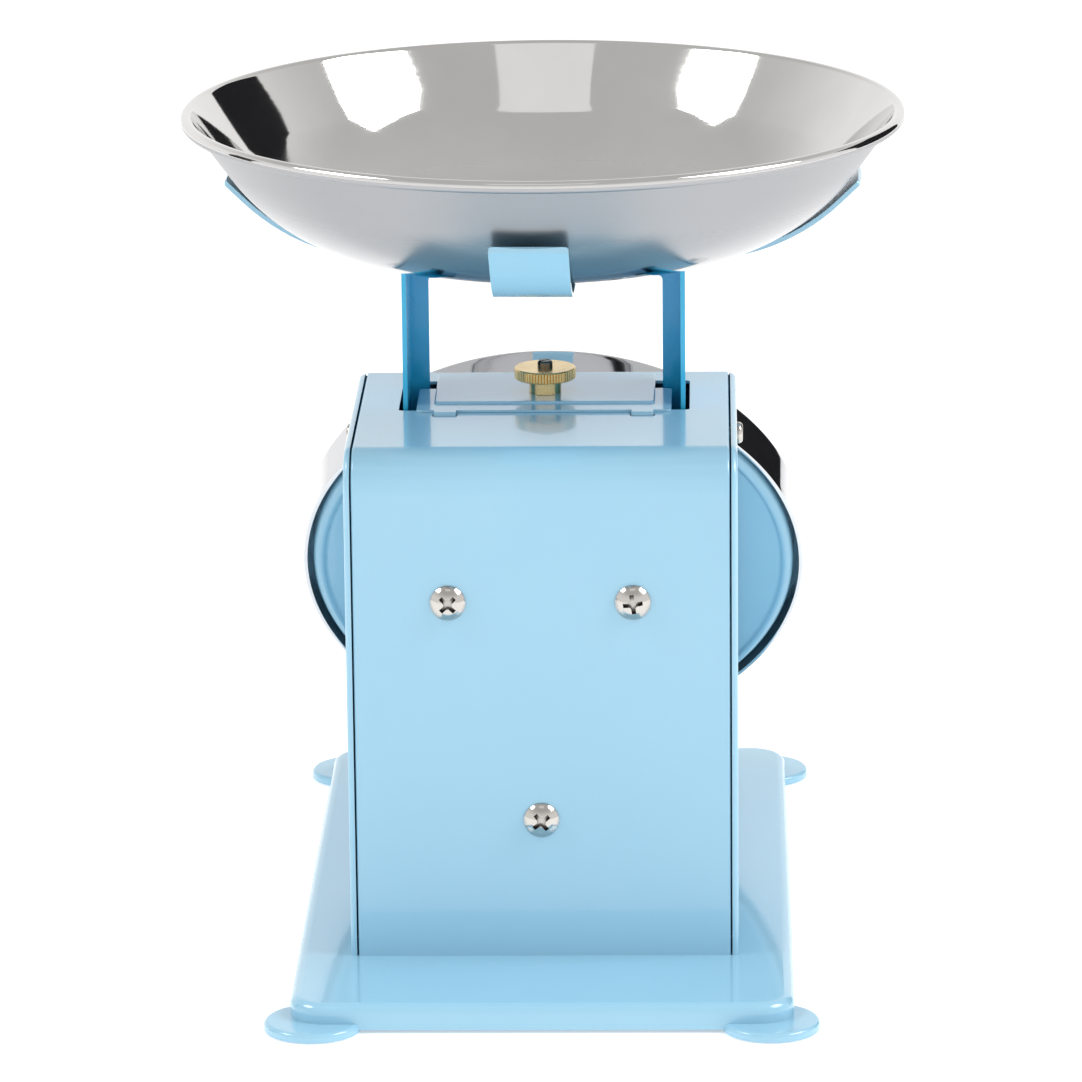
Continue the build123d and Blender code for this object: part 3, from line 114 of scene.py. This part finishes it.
class Shader:
    """A node tree with short calls for the procedural materials below."""

    def __init__(self, name):
        self.material = bpy.data.materials.new(name)
        self.material.use_nodes = True
        self.tree = self.material.node_tree
        self.surface = self.tree.nodes["Principled BSDF"]
        self.coordinates = self.tree.nodes.new("ShaderNodeTexCoord").outputs["Object"]

    def link(self, source, target):
        self.tree.links.new(source, target)

    def set(self, **values):
        for key, value in values.items():
            self.surface.inputs[key.replace("_", " ")].default_value = value

    def noise(self, scale, detail=3.0, roughness=0.55, stretch=None, source=None):
        source = source or self.coordinates
        if stretch:
            mapping = self.tree.nodes.new("ShaderNodeMapping")
            mapping.inputs["Scale"].default_value = stretch
            self.link(source, mapping.inputs["Vector"])
            source = mapping.outputs["Vector"]
        node = self.tree.nodes.new("ShaderNodeTexNoise")
        node.inputs["Scale"].default_value = scale
        node.inputs["Detail"].default_value = detail
        node.inputs["Roughness"].default_value = roughness
        self.link(source, node.inputs["Vector"])
        return node.outputs["Fac"]

    def spread(self, source, low, high, low_in=0.3, high_in=0.7):
        node = self.tree.nodes.new("ShaderNodeMapRange")
        node.inputs["From Min"].default_value = low_in
        node.inputs["From Max"].default_value = high_in
        node.inputs["To Min"].default_value = low
        node.inputs["To Max"].default_value = high
        self.link(source, node.inputs["Value"])
        return node.outputs["Result"]

    def maths(self, operation, first, second):
        node = self.tree.nodes.new("ShaderNodeMath")
        node.operation = operation
        for place, value in enumerate((first, second)):
            if isinstance(value, (int, float)):
                node.inputs[place].default_value = value
            else:
                self.link(value, node.inputs[place])
        return node.outputs[0]

    def blend_colours(self, factor, first, second):
        node = self.tree.nodes.new("ShaderNodeMix")
        node.data_type = "RGBA"
        node.inputs[6].default_value = (*first, 1)
        node.inputs[7].default_value = (*second, 1)
        self.link(factor, node.inputs[0])
        return node.outputs[2]

    def fade_colours(self, factor, source, second):
        """From a colour that is already a node's output towards a plain one."""
        node = self.tree.nodes.new("ShaderNodeMix")
        node.data_type = "RGBA"
        node.inputs[7].default_value = (*second, 1)
        self.link(source, node.inputs[6])
        self.link(factor, node.inputs[0])
        return node.outputs[2]

    def bump(self, height, strength, distance, normal=None):
        node = self.tree.nodes.new("ShaderNodeBump")
        node.inputs["Strength"].default_value = strength
        node.inputs["Distance"].default_value = distance
        self.link(height, node.inputs["Height"])
        if normal:
            self.link(normal, node.inputs["Normal"])
        return node.outputs["Normal"]

    def rings(self, middle, axis, scale):
        """Fine circular grain round an axis: noise that only changes with the distance from it."""
        offset = self.tree.nodes.new("ShaderNodeVectorMath")
        offset.operation = "SUBTRACT"
        offset.inputs[1].default_value = middle
        self.link(self.coordinates, offset.inputs[0])
        cross = self.tree.nodes.new("ShaderNodeVectorMath")
        cross.operation = "CROSS_PRODUCT"
        cross.inputs[1].default_value = axis
        self.link(offset.outputs[0], cross.inputs[0])
        length = self.tree.nodes.new("ShaderNodeVectorMath")
        length.operation = "LENGTH"
        self.link(cross.outputs[0], length.inputs[0])
        distance = length.outputs["Value"]
        join = self.tree.nodes.new("ShaderNodeCombineXYZ")
        self.link(distance, join.inputs[0])
        return distance, self.noise(scale, 2.0, source=join.outputs[0])

    def finish(self, colour=None, roughness=None, normal=None, coat_normal=None):
        inputs = self.surface.inputs
        for source, target in ((colour, "Base Color"), (roughness, "Roughness"), (normal, "Normal"),
                               (coat_normal, "Coat Normal")):
            if source is not None:
                self.link(source, inputs[target])
        return self.material


def enamel(name, colour, shade, roughness=(0.16, 0.26), coat=0.7):
    """Glossy sprayed paint: slight orange peel under a clear gloss, with faint handling marks."""
    shader = Shader(name)
    shader.set(IOR=1.5, Coat_Weight=coat, Coat_IOR=1.5)
    tint = shader.blend_colours(shader.spread(shader.noise(9), 0, 1), colour, shade)
    smears = shader.noise(28, 5, 0.6, stretch=(1, 1, 0.35))
    shader.link(shader.spread(smears, 0.015, 0.06, 0.35, 0.75), shader.surface.inputs["Coat Roughness"])
    peel = shader.bump(shader.noise(420, 2), 0.05, 0.0004)
    waves = shader.bump(shader.noise(14, 2), 0.10, 0.0012, peel)
    return shader.finish(tint, shader.spread(smears, *roughness), waves, waves)


def metal(name, colour, shade, roughness, grain=900, grain_depth=0.06, stretch=None, patch=20,
          recess_painted_shade=False):
    """Bare or plated metal: patchy tone, uneven polish and a fine grain; painted shade can darken the
    recesses.
    """
    shader = Shader(name)
    shader.set(Metallic=1.0)
    patches = shader.noise(patch, 5, 0.6)
    tint = shader.blend_colours(shader.spread(patches, 0, 1), colour, shade)
    if recess_painted_shade:
        # Painted shade: ambient occlusion darkens the recesses towards near-black.
        hollows = shader.tree.nodes.new("ShaderNodeAmbientOcclusion")
        hollows.samples = 8
        hollows.inputs["Distance"].default_value = PAINTED_SHADE_REACH
        painted_shade_mask = shader.spread(hollows.outputs["AO"], 1, 0, 0.35, 0.8)
        tint = shader.fade_colours(painted_shade_mask, tint, RECESS_PAINTED_SHADE)
    fine = shader.noise(grain, 3, 0.6, stretch)
    polish = shader.spread(shader.noise(patch * 3, 4), *roughness)
    return shader.finish(tint, polish, shader.bump(fine, grain_depth, 0.0003))


def bowl_steel():
    """Spun steel: mirror polish on the wall, satin rings on the floor."""
    shader = Shader("bowl_steel")
    shader.set(Metallic=1.0)
    distance, grain = shader.rings(BOWL_MIDDLE, (0, 0, 1), 900)
    satin = shader.spread(distance, 1, 0, SATIN_RADIUS, POLISH_RADIUS)
    uneven = shader.noise(16, 4, 0.6)
    tint = shader.blend_colours(shader.spread(uneven, 0, 1), (0.76, 0.75, 0.73), (0.69, 0.68, 0.67))
    polish = shader.spread(shader.noise(40, 4), 0.035, 0.065)
    # The outside is only buffed, so it is duller than the inside wall; its much darker tint is painted
    # shade, dimming the reflections on the downward-facing side.
    facing = shader.tree.nodes.new("ShaderNodeSeparateXYZ")
    geometry = shader.tree.nodes.new("ShaderNodeNewGeometry")
    shader.link(geometry.outputs["Normal"], facing.inputs[0])
    outside = shader.spread(facing.outputs["Z"], 1, 0, -0.05, 0.05)
    inner = shader.maths("ADD", polish, shader.maths("MULTIPLY", satin, SATIN_ROUGHNESS))
    # Painted shade: the downward-facing outside is darkened towards grey.
    tint = shader.fade_colours(outside, tint, OUTSIDE_PAINTED_SHADE_TINT)
    height = shader.tree.nodes.new("ShaderNodeSeparateXYZ")
    shader.link(shader.coordinates, height.inputs[0])
    buffed = shader.spread(height.outputs["Z"], *BUFFED_ROUGHNESS,
                           bowl_low.z + BUFFED_START, bowl_low.z + BUFFED_END)
    dull = shader.maths("MULTIPLY", outside, buffed)
    inside = shader.maths("SUBTRACT", 1.0, outside)
    rough = shader.maths("MAXIMUM", shader.maths("MULTIPLY", inner, inside), dull)
    rings = shader.bump(grain, 0.035, 0.0002)
    dents = shader.bump(shader.noise(11, 1), 0.16, 0.0016, rings)
    return shader.finish(tint, rough, dents)


def chrome_steel():
    shader = Shader("chrome_plate")
    shader.set(Metallic=1.0)
    _, grain = shader.rings(DRUM_CENTRE, DIAL_OUT, 700)
    uneven = shader.spread(shader.noise(18), 0, 1)
    tint = shader.blend_colours(uneven, (0.80, 0.80, 0.81), (0.72, 0.73, 0.75))
    polish = shader.spread(shader.noise(60, 4), 0.03, 0.07)
    return shader.finish(tint, polish, shader.bump(grain, 0.03, 0.0001))


def clear_glass():
    shader = Shader("clear_glass")
    shader.set(IOR=1.46, Base_Color=(1.0, 1.0, 0.995, 1))
    shader.surface.inputs["Transmission Weight"].default_value = 1.0
    polish = shader.spread(shader.noise(30, 4), 0.0, 0.02)
    return shader.finish(None, polish, shader.bump(shader.noise(8, 1), 0.02, 0.0004))


def black_rubber():
    shader = Shader("black_rubber")
    tint = shader.blend_colours(shader.noise(80), (0.020, 0.020, 0.021), (0.045, 0.044, 0.043))
    rough = shader.spread(shader.noise(60), 0.6, 0.85)
    return shader.finish(tint, rough, shader.bump(shader.noise(500), 0.3, 0.0004))


finishes = {
    "blue_paint": enamel("blue_enamel", PAINT, PAINT_SHADE),
    "stainless": bowl_steel(),
    "chrome": chrome_steel(),
    # The nickel screws get painted shade in their recesses.
    "nickel": metal("nickel_plate", (0.66, 0.63, 0.59), (0.56, 0.53, 0.50), (0.08, 0.20), 700, 0.10,
                    recess_painted_shade=True),
    "brass": metal("turned_brass", (0.88, 0.68, 0.34), (0.72, 0.52, 0.24), (0.14, 0.30), 1500, 0.16,
                   (0.2, 0.2, 3.0), 60),
    "bright_steel": metal("ground_steel", (0.60, 0.60, 0.60), (0.48, 0.48, 0.48), (0.16, 0.32), 1300,
                          0.12, (3.0, 3.0, 0.3)),
    "mechanism_steel": metal("zinc_plate", (0.56, 0.57, 0.58), (0.44, 0.46, 0.48), (0.22, 0.45), 500,
                             0.14),
    "rack_steel": metal("rack_plate", (0.60, 0.60, 0.57), (0.46, 0.46, 0.44), (0.2, 0.4), 800, 0.12),
    "spring_steel": metal("spring_wire", (0.36, 0.36, 0.37), (0.24, 0.24, 0.25), (0.2, 0.4), 1500, 0.14),
    "rubber": black_rubber(),
    "dial_enamel": enamel("cream_enamel", (0.92, 0.88, 0.79), (0.89, 0.85, 0.75), (0.28, 0.4), 0.4),
    "pointer_paint": enamel("black_enamel", (0.014, 0.014, 0.016), (0.020, 0.020, 0.022), (0.3, 0.45),
                            0.3),
    "dial_glass": clear_glass(),
}
ink = enamel("printing_ink", (0.018, 0.020, 0.028), (0.028, 0.030, 0.040), (0.4, 0.55), 0.1)
tray_painted_shade = enamel("tray_enamel_painted_shade", TRAY_PAINTED_SHADE, TRAY_PAINTED_SHADE_TONE, (0.2, 0.3), 0.3)
blackened = metal("blackened_steel", (0.22, 0.20, 0.17), (0.10, 0.09, 0.08), (0.2, 0.4), grain_depth=0.2,
                  patch=160)

for node in nodes.values():
    for place, material in enumerate(node.data.materials):
        plain = material.name.split(".")[0]
        if plain in finishes:
            node.data.materials[place] = finishes[plain]
nodes["zero_screw"].data.materials[0] = blackened
# Painted shade: the tray frame gets the deeper blue instead of the body's light blue paint.
nodes["tray_frame"].data.materials[0] = tray_painted_shade

# ---------------------------------------------------------------- meshes

ROUND_STEPS = 320
SAME_POINT = 1e-7
SHARP_ANGLE = math.radians(34)


def new_piece(name, vertices, faces, material, smooth=True):
    mesh = bpy.data.meshes.new(name)
    mesh.from_pydata(vertices, [], faces)
    mesh.update()
    mesh.materials.append(material)
    if smooth:
        mesh.shade_smooth()
    piece = bpy.data.objects.new(name, mesh)
    bpy.context.scene.collection.objects.link(piece)
    return piece


def turned_piece(name, profile, origin, axis, across, material):
    """A smooth turned piece: a closed profile of (radius, height) points round an axis."""
    side = axis.cross(across)
    vertices = []
    for step in range(ROUND_STEPS):
        angle = 2 * math.pi * step / ROUND_STEPS
        spoke = across * math.cos(angle) + side * math.sin(angle)
        vertices += [origin + spoke * radius + axis * height for radius, height in profile]
    count = len(profile)
    faces = []
    for step in range(ROUND_STEPS):
        here, there = step * count, (step + 1) % ROUND_STEPS * count
        for place in range(count):
            after = (place + 1) % count
            if profile[place][0] < SAME_POINT and profile[after][0] < SAME_POINT:
                continue
            faces.append((here + place, here + after, there + after, there + place))
    piece = new_piece(name, vertices, faces, material)
    bm = bmesh.new()
    bm.from_mesh(piece.data)
    bmesh.ops.remove_doubles(bm, verts=bm.verts, dist=SAME_POINT)
    bmesh.ops.dissolve_degenerate(bm, dist=SAME_POINT, edges=bm.edges)
    bmesh.ops.recalc_face_normals(bm, faces=bm.faces)
    bm.to_mesh(piece.data)
    bm.free()
    piece.data.set_sharp_from_angle(angle=SHARP_ANGLE)
    return piece


def arc_points(middle, radius, start, end, steps):
    """Points on an arc, from one angle to another in degrees."""
    return [
        (middle[0] + radius * math.cos(math.radians(start + (end - start) * step / steps)),
         middle[1] + radius * math.sin(math.radians(start + (end - start) * step / steps)))
        for step in range(steps + 1)
    ]


# The bowl, spun from one sheet, with a rolled bead round the rim.
BOWL_SHEET = 0.8 * MM
BOWL_FLAT = 50.0 * MM
BOWL_CORNER = 66.0 * MM
BOWL_WALL = 53.5  # slope of the wall near the rim, degrees
BEAD = 2.0 * MM
FLAT_STEPS = 8
CORNER_STEPS = 48
BEAD_STEPS = 28
BEAD_END = 150  # where the bead's roll starts and stops, degrees


def spun_bowl():
    floor = bowl_low.z
    rim_radius = (bowl_high.x - bowl_low.x) / 2 - BEAD
    rim_z = bowl_high.z - BEAD
    middle = (BOWL_FLAT, floor + BOWL_CORNER)
    outside = [(BOWL_FLAT * step / FLAT_STEPS, floor) for step in range(FLAT_STEPS)]
    outside += arc_points(middle, BOWL_CORNER, -90, -90 + BOWL_WALL, CORNER_STEPS)
    inside = [(BOWL_FLAT * step / FLAT_STEPS, floor + BOWL_SHEET) for step in range(FLAT_STEPS)]
    inside += arc_points(middle, BOWL_CORNER - BOWL_SHEET, -90, -90 + BOWL_WALL, CORNER_STEPS)
    reach = rim_radius - BEAD * 0.75
    climb = rim_z - BEAD * 0.45 - outside[-1][1]
    outside += [(outside[-1][0] + (reach - outside[-1][0]) * part, outside[-1][1] + climb * part)
                for part in (0.33, 0.66, 1.0)]
    bead = arc_points((rim_radius, rim_z), BEAD, -BEAD_END, BEAD_END, BEAD_STEPS)
    top = bead[-1]
    wall = inside[-1]
    inside += [(wall[0] + (top[0] - wall[0]) * part, wall[1] + (top[1] - wall[1]) * part)
               for part in (0.33, 0.66)]
    profile = outside + bead + inside[::-1]
    origin = Vector((BOWL_MIDDLE.x, BOWL_MIDDLE.y, 0))
    return turned_piece("bowl_shell", profile, origin, Vector((0, 0, 1)), Vector((1, 0, 0)),
                        finishes["stainless"])


bowl_shell = spun_bowl()
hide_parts("bowl")
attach(bowl_shell, "bowl")


# The chrome ring round the drum: a straight band, a rolled front edge and a lip over the glass.
RING_BAND = 1.3 * MM
RING_LIP = 6.3 * MM
RING_EDGE = 2.0 * MM
RING_HEM = 0.3 * MM
RING_DISH = 1.3 * MM


def chrome_ring():
    start, end = depth_of("bezel_ring")
    outer = radius_of("bezel_ring")
    band = outer - RING_BAND
    lip = outer - RING_LIP
    profile = [(band, start), (outer - RING_HEM, start)]
    profile += arc_points((outer - RING_HEM, start + RING_HEM), RING_HEM, -60, 0, 3)
    profile += [(outer, start + (end - start - RING_EDGE) * part) for part in (0.15, 0.4, 0.65, 0.9, 1.0)]
    profile += arc_points((outer - RING_EDGE, end - RING_EDGE), RING_EDGE, 10, 90, 10)
    crest = outer - RING_EDGE
    profile += [(crest - (crest - lip) * part, end - RING_DISH * part) for part in (0.3, 0.7, 1.0)]
    glass = depth_of("dial_glass")[1]
    profile += [(lip, glass), (band, glass)]
    return turned_piece("chrome_ring", profile, DRUM_CENTRE, DIAL_OUT, DIAL_RIGHT, finishes["chrome"])


ring = chrome_ring()
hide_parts("bezel_ring")
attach(ring, "housing")


# Springs as real coils, built in place of the spring parts from their bottom ends to their top ends.
WIRE = 0.8 * MM  # radius
COIL_TURNS = 24
COIL_STEPS = 24  # in one turn
WIRE_SIDES = 10
SPRING_STEM = 5.0 * MM
CLOSING_TURNS = 0.8
STEM_SHARE = 0.05


def coil_spring(name, node):
    low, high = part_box(node)
    middle = (low + high) / 2
    coil_radius = (high.x - low.x) / 2 - WIRE
    bottom, top = low.z + SPRING_STEM, high.z - SPRING_STEM
    steps = COIL_TURNS * COIL_STEPS
    path = [Vector((middle.x, middle.y, low.z + WIRE * 0.2))]
    for step in range(steps + 1):
        share = step / steps
        angle = 2 * math.pi * COIL_TURNS * share
        # The end turns close in on the stems.
        closing = min(1.0, min(share, 1 - share) * COIL_TURNS / CLOSING_TURNS)
        reach = coil_radius * (STEM_SHARE + (1 - STEM_SHARE) * closing)
        path.append(Vector((middle.x + reach * math.cos(angle), middle.y + reach * math.sin(angle),
                            bottom + (top - bottom) * share)))
    path.append(Vector((middle.x, middle.y, high.z - WIRE * 0.2)))
    vertices, faces = [], []
    for place, point in enumerate(path):
        before = path[max(place - 1, 0)]
        after = path[min(place + 1, len(path) - 1)]
        forward = (after - before).normalized()
        guide = Vector((0, 0, 1)) if abs(forward.z) < 0.9 else Vector((1, 0, 0))
        across = forward.cross(guide).normalized()
        up = across.cross(forward)
        for side in range(WIRE_SIDES):
            turn = 2 * math.pi * side / WIRE_SIDES
            vertices.append(point + (across * math.cos(turn) + up * math.sin(turn)) * WIRE)
    for place in range(len(path) - 1):
        for side in range(WIRE_SIDES):
            a = place * WIRE_SIDES + side
            b = place * WIRE_SIDES + (side + 1) % WIRE_SIDES
            faces.append((a, b, b + WIRE_SIDES, a + WIRE_SIDES))
    faces.append(tuple(range(WIRE_SIDES)))
    faces.append(tuple(len(path) * WIRE_SIDES - 1 - side for side in range(WIRE_SIDES)))
    piece = new_piece(name, vertices, faces, finishes["spring_steel"])
    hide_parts(node)
    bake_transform(piece)


coil_spring("spring_coil_left", "main_spring_left")
coil_spring("spring_coil_right", "main_spring_right")

# ---------------------------------------------------------------- printing on the dial

DIAL_TOP = depth_of("dial_plate")[1]
INK_THICK = 0.12 * MM
SCALE_RADIUS = 73.0 * MM
FULL_LOAD = 5
FULL_LOAD_TURN = 339.75  # of the pointer, degrees
TICKS_PER_KILOGRAM = 20
KILOGRAM_TURN = FULL_LOAD_TURN / FULL_LOAD


# To someone facing the dial, who looks along -DIAL_OUT, right is this way.
DIAL_FRONT_RIGHT = (-DIAL_OUT).cross(DIAL_UP)

# Ticks, the longest first: how many of the finest ticks apart, length and width.
TICKS = (
    (20, 9.0 * MM, 1.1 * MM),
    (10, 7.0 * MM, 0.8 * MM),
    (5, 5.5 * MM, 0.6 * MM),
    (1, 3.5 * MM, 0.35 * MM),
)
CIRCLES = ((SCALE_RADIUS + 0.8 * MM, 0.7 * MM), (SCALE_RADIUS + 3.0 * MM, 0.4 * MM))
CIRCLE_STEPS = 240
NUMBER_RADIUS = SCALE_RADIUS - 17 * MM
NUMBER_SIZE = 12 * MM
NUMBER_SHIFT = 3.0  # of the first and last numbers, away from each other, degrees
UNIT_RADIUS = 30 * MM
UNIT_SIZE = 11 * MM


def dial_point(radius, clockwise, height=0.0):
    """A point on the dial: clockwise degrees from the top, as seen from the front."""
    angle = math.radians(clockwise)
    across = DIAL_FRONT_RIGHT * math.sin(angle) + DIAL_UP * math.cos(angle)
    return DRUM_CENTRE + across * radius + DIAL_OUT * (DIAL_TOP + height)


def add_bar(vertices, faces, corners):
    """A flat printed bar between four corners, given at the dial's surface."""
    first = len(vertices)
    vertices += corners
    vertices += [corner + DIAL_OUT * INK_THICK for corner in corners]
    faces += [(first + 4, first + 5, first + 6, first + 7)]
    for place in range(4):
        after = (place + 1) % 4
        faces.append((first + place, first + after, first + 4 + after, first + 4 + place))


def printed_scale():
    vertices, faces = [], []
    for number in range(FULL_LOAD * TICKS_PER_KILOGRAM + 1):
        turn = number * KILOGRAM_TURN / TICKS_PER_KILOGRAM
        length, width = next(tick[1:] for tick in TICKS if number % tick[0] == 0)
        out = dial_point(1, turn) - dial_point(0, turn)
        side = out.cross(DIAL_OUT) * (width / 2)
        outer, inner = dial_point(SCALE_RADIUS, turn), dial_point(SCALE_RADIUS - length, turn)
        add_bar(vertices, faces, [outer - side, outer + side, inner + side, inner - side])
    for radius, width in CIRCLES:
        for step in range(CIRCLE_STEPS):
            a, b = 360 * step / CIRCLE_STEPS, 360 * (step + 1) / CIRCLE_STEPS
            add_bar(vertices, faces, [dial_point(radius, a), dial_point(radius, b),
                                      dial_point(radius - width, b), dial_point(radius - width, a)])
    piece = new_piece("dial_scale", vertices, faces, ink, smooth=False)
    bm = bmesh.new()
    bm.from_mesh(piece.data)
    bmesh.ops.remove_doubles(bm, verts=bm.verts, dist=1e-6)
    bmesh.ops.recalc_face_normals(bm, faces=bm.faces)
    bm.to_mesh(piece.data)
    bm.free()
    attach(piece, "housing")


def printed_text(name, words, size, radius, clockwise):
    curve = bpy.data.curves.new(name, "FONT")
    curve.body = words
    curve.size = size
    curve.align_x = "CENTER"
    curve.align_y = "CENTER"
    curve.extrude = INK_THICK / 2
    label = bpy.data.objects.new(name, curve)
    bpy.context.scene.collection.objects.link(label)
    bpy.context.view_layer.update()
    shaped = label.evaluated_get(bpy.context.evaluated_depsgraph_get())
    mesh = bpy.data.meshes.new_from_object(shaped)
    bpy.data.objects.remove(label)
    turn = Matrix((DIAL_FRONT_RIGHT, DIAL_UP, DIAL_OUT)).transposed().to_4x4()
    mesh.transform(Matrix.Translation(dial_point(radius, clockwise, INK_THICK / 2)) @ turn)
    mesh.materials.clear()
    mesh.materials.append(ink)
    piece = bpy.data.objects.new(name, mesh)
    bpy.context.scene.collection.objects.link(piece)
    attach(piece, "housing")


printed_scale()
for kilogram in range(FULL_LOAD + 1):
    shift = {0: NUMBER_SHIFT, FULL_LOAD: -NUMBER_SHIFT}.get(kilogram, 0.0)
    printed_text(f"dial_number_{kilogram}", str(kilogram), NUMBER_SIZE, NUMBER_RADIUS,
                 kilogram * KILOGRAM_TURN + shift)
printed_text("dial_unit", "kg", UNIT_SIZE, UNIT_RADIUS, 180)

# ---------------------------------------------------------------- camera and stage

CAMERA_PLACE = Vector((-0.0543, 2.1416, 0.7052))
CAMERA_FORWARD = Vector((0.0255, -0.9649, -0.2614)).normalized()
CAMERA_ROLL = 0.0103
CAMERA_LENS = 219.4
CAMERA_SENSOR = 36.0

HORIZON_LIGHT = 1.0
CEILING_LIGHT = 0.58
CEILING_START = 0.25
CEILING_END = 0.75
FLOOR_GLOW = 0.36
FLOOR_SIZE = 16
FLOOR_TONE = (0.90, 0.90, 0.90)

LIGHT_AIM = Vector((0, 0, 0.2))
# Name, place, size and power of each soft box.
LIGHTS = (
    ("soft_box_right", (-1.65, 0.30, 1.75), (1.1, 1.0), 28),
    ("soft_box_left", (1.60, 0.30, 1.80), (0.9, 0.7), 17),
    ("soft_box_top", (0.0, 0.95, 2.10), (0.9, 0.5), 0.5),
)
BOARD_AIM = Vector((0, 0, 0.25))
BOARD_ROUGHNESS = (0.8, 0.9)
# Name, place, size and colour of each dark board outside the picture.
BOARDS = (
    ("board_front", (-1.75, -1.55, 0.75), (1.5, 1.5), (0.012, 0.012, 0.014)),
    ("board_side", (2.2, -0.6, 0.5), (0.5, 1.1), (0.05, 0.05, 0.052)),
)


def make_camera():
    data = bpy.data.cameras.new("camera")
    data.lens = CAMERA_LENS
    data.sensor_width = CAMERA_SENSOR
    data.clip_end = 20.0
    camera = bpy.data.objects.new("camera", data)
    right = CAMERA_FORWARD.cross(Vector((0, 0, 1))).normalized()
    up = right.cross(CAMERA_FORWARD)
    rolled_right = right - CAMERA_ROLL * up
    rolled_up = up + CAMERA_ROLL * right
    turn = Matrix((rolled_right, rolled_up, -CAMERA_FORWARD)).transposed().to_4x4()
    camera.matrix_world = Matrix.Translation(CAMERA_PLACE) @ turn
    bpy.context.scene.collection.objects.link(camera)
    bpy.context.scene.camera = camera


def area_light(name, place, size, power):
    data = bpy.data.lights.new(name, "AREA")
    data.shape = "RECTANGLE"
    data.size, data.size_y = size
    data.energy = power
    light = bpy.data.objects.new(name, data)
    light.location = place
    light.rotation_euler = (LIGHT_AIM - Vector(place)).to_track_quat("-Z", "Y").to_euler()
    bpy.context.scene.collection.objects.link(light)


def stage_sheet(name, place, aim, size, colour):
    """A flat studio board, facing a point."""
    half_x, half_y = size[0] / 2, size[1] / 2
    mesh = bpy.data.meshes.new(name)
    corners = [(-half_x, -half_y, 0), (half_x, -half_y, 0), (half_x, half_y, 0), (-half_x, half_y, 0)]
    mesh.from_pydata(corners, [], [(0, 1, 2, 3)])
    board = bpy.data.objects.new(name, mesh)
    board.location = place
    board.rotation_euler = (Vector(place) - Vector(aim)).to_track_quat("-Z", "Y").to_euler()
    bpy.context.scene.collection.objects.link(board)
    shader = Shader(name)
    shader.set(Specular_IOR_Level=0.1)
    tint = shader.blend_colours(shader.noise(3), colour, tuple(0.96 * part for part in colour))
    mesh.materials.append(shader.finish(tint, shader.spread(shader.noise(5), *BOARD_ROUGHNESS)))
    return board


def studio_world():
    """A bright horizon under a greyer ceiling, so that the polished bowl isn't washed out."""
    world = bpy.data.worlds.new("studio")
    bpy.context.scene.world = world
    world.use_nodes = True
    tree = world.node_tree
    background = tree.nodes["Background"]
    direction = tree.nodes.new("ShaderNodeTexCoord").outputs["Generated"]
    split = tree.nodes.new("ShaderNodeSeparateXYZ")
    tree.links.new(direction, split.inputs[0])
    fade = tree.nodes.new("ShaderNodeMapRange")
    fade.interpolation_type = "SMOOTHSTEP"
    fade.inputs["From Min"].default_value = CEILING_START
    fade.inputs["From Max"].default_value = CEILING_END
    fade.inputs["To Min"].default_value = HORIZON_LIGHT
    fade.inputs["To Max"].default_value = CEILING_LIGHT
    tree.links.new(split.outputs["Z"], fade.inputs["Value"])
    background.inputs["Color"].default_value = (1, 1, 1, 1)
    tree.links.new(fade.outputs["Result"], background.inputs["Strength"])


def make_stage():
    floor = stage_sheet("floor", (0, -1, 0), (0, -1, -1), (FLOOR_SIZE, FLOOR_SIZE), FLOOR_TONE)
    floor_shader = floor.data.materials[0].node_tree.nodes["Principled BSDF"]
    floor_shader.inputs["Emission Color"].default_value = (1, 1, 1, 1)
    floor_shader.inputs["Emission Strength"].default_value = FLOOR_GLOW
    studio_world()
    # The dark boards give the bright metal its dark bands.
    for name, place, size, colour in BOARDS:
        stage_sheet(name, place, BOARD_AIM, size, colour)
    for name, place, size, power in LIGHTS:
        area_light(name, place, size, power)
    bpy.context.scene.view_settings.view_transform = "Standard"


make_camera()
make_stage()
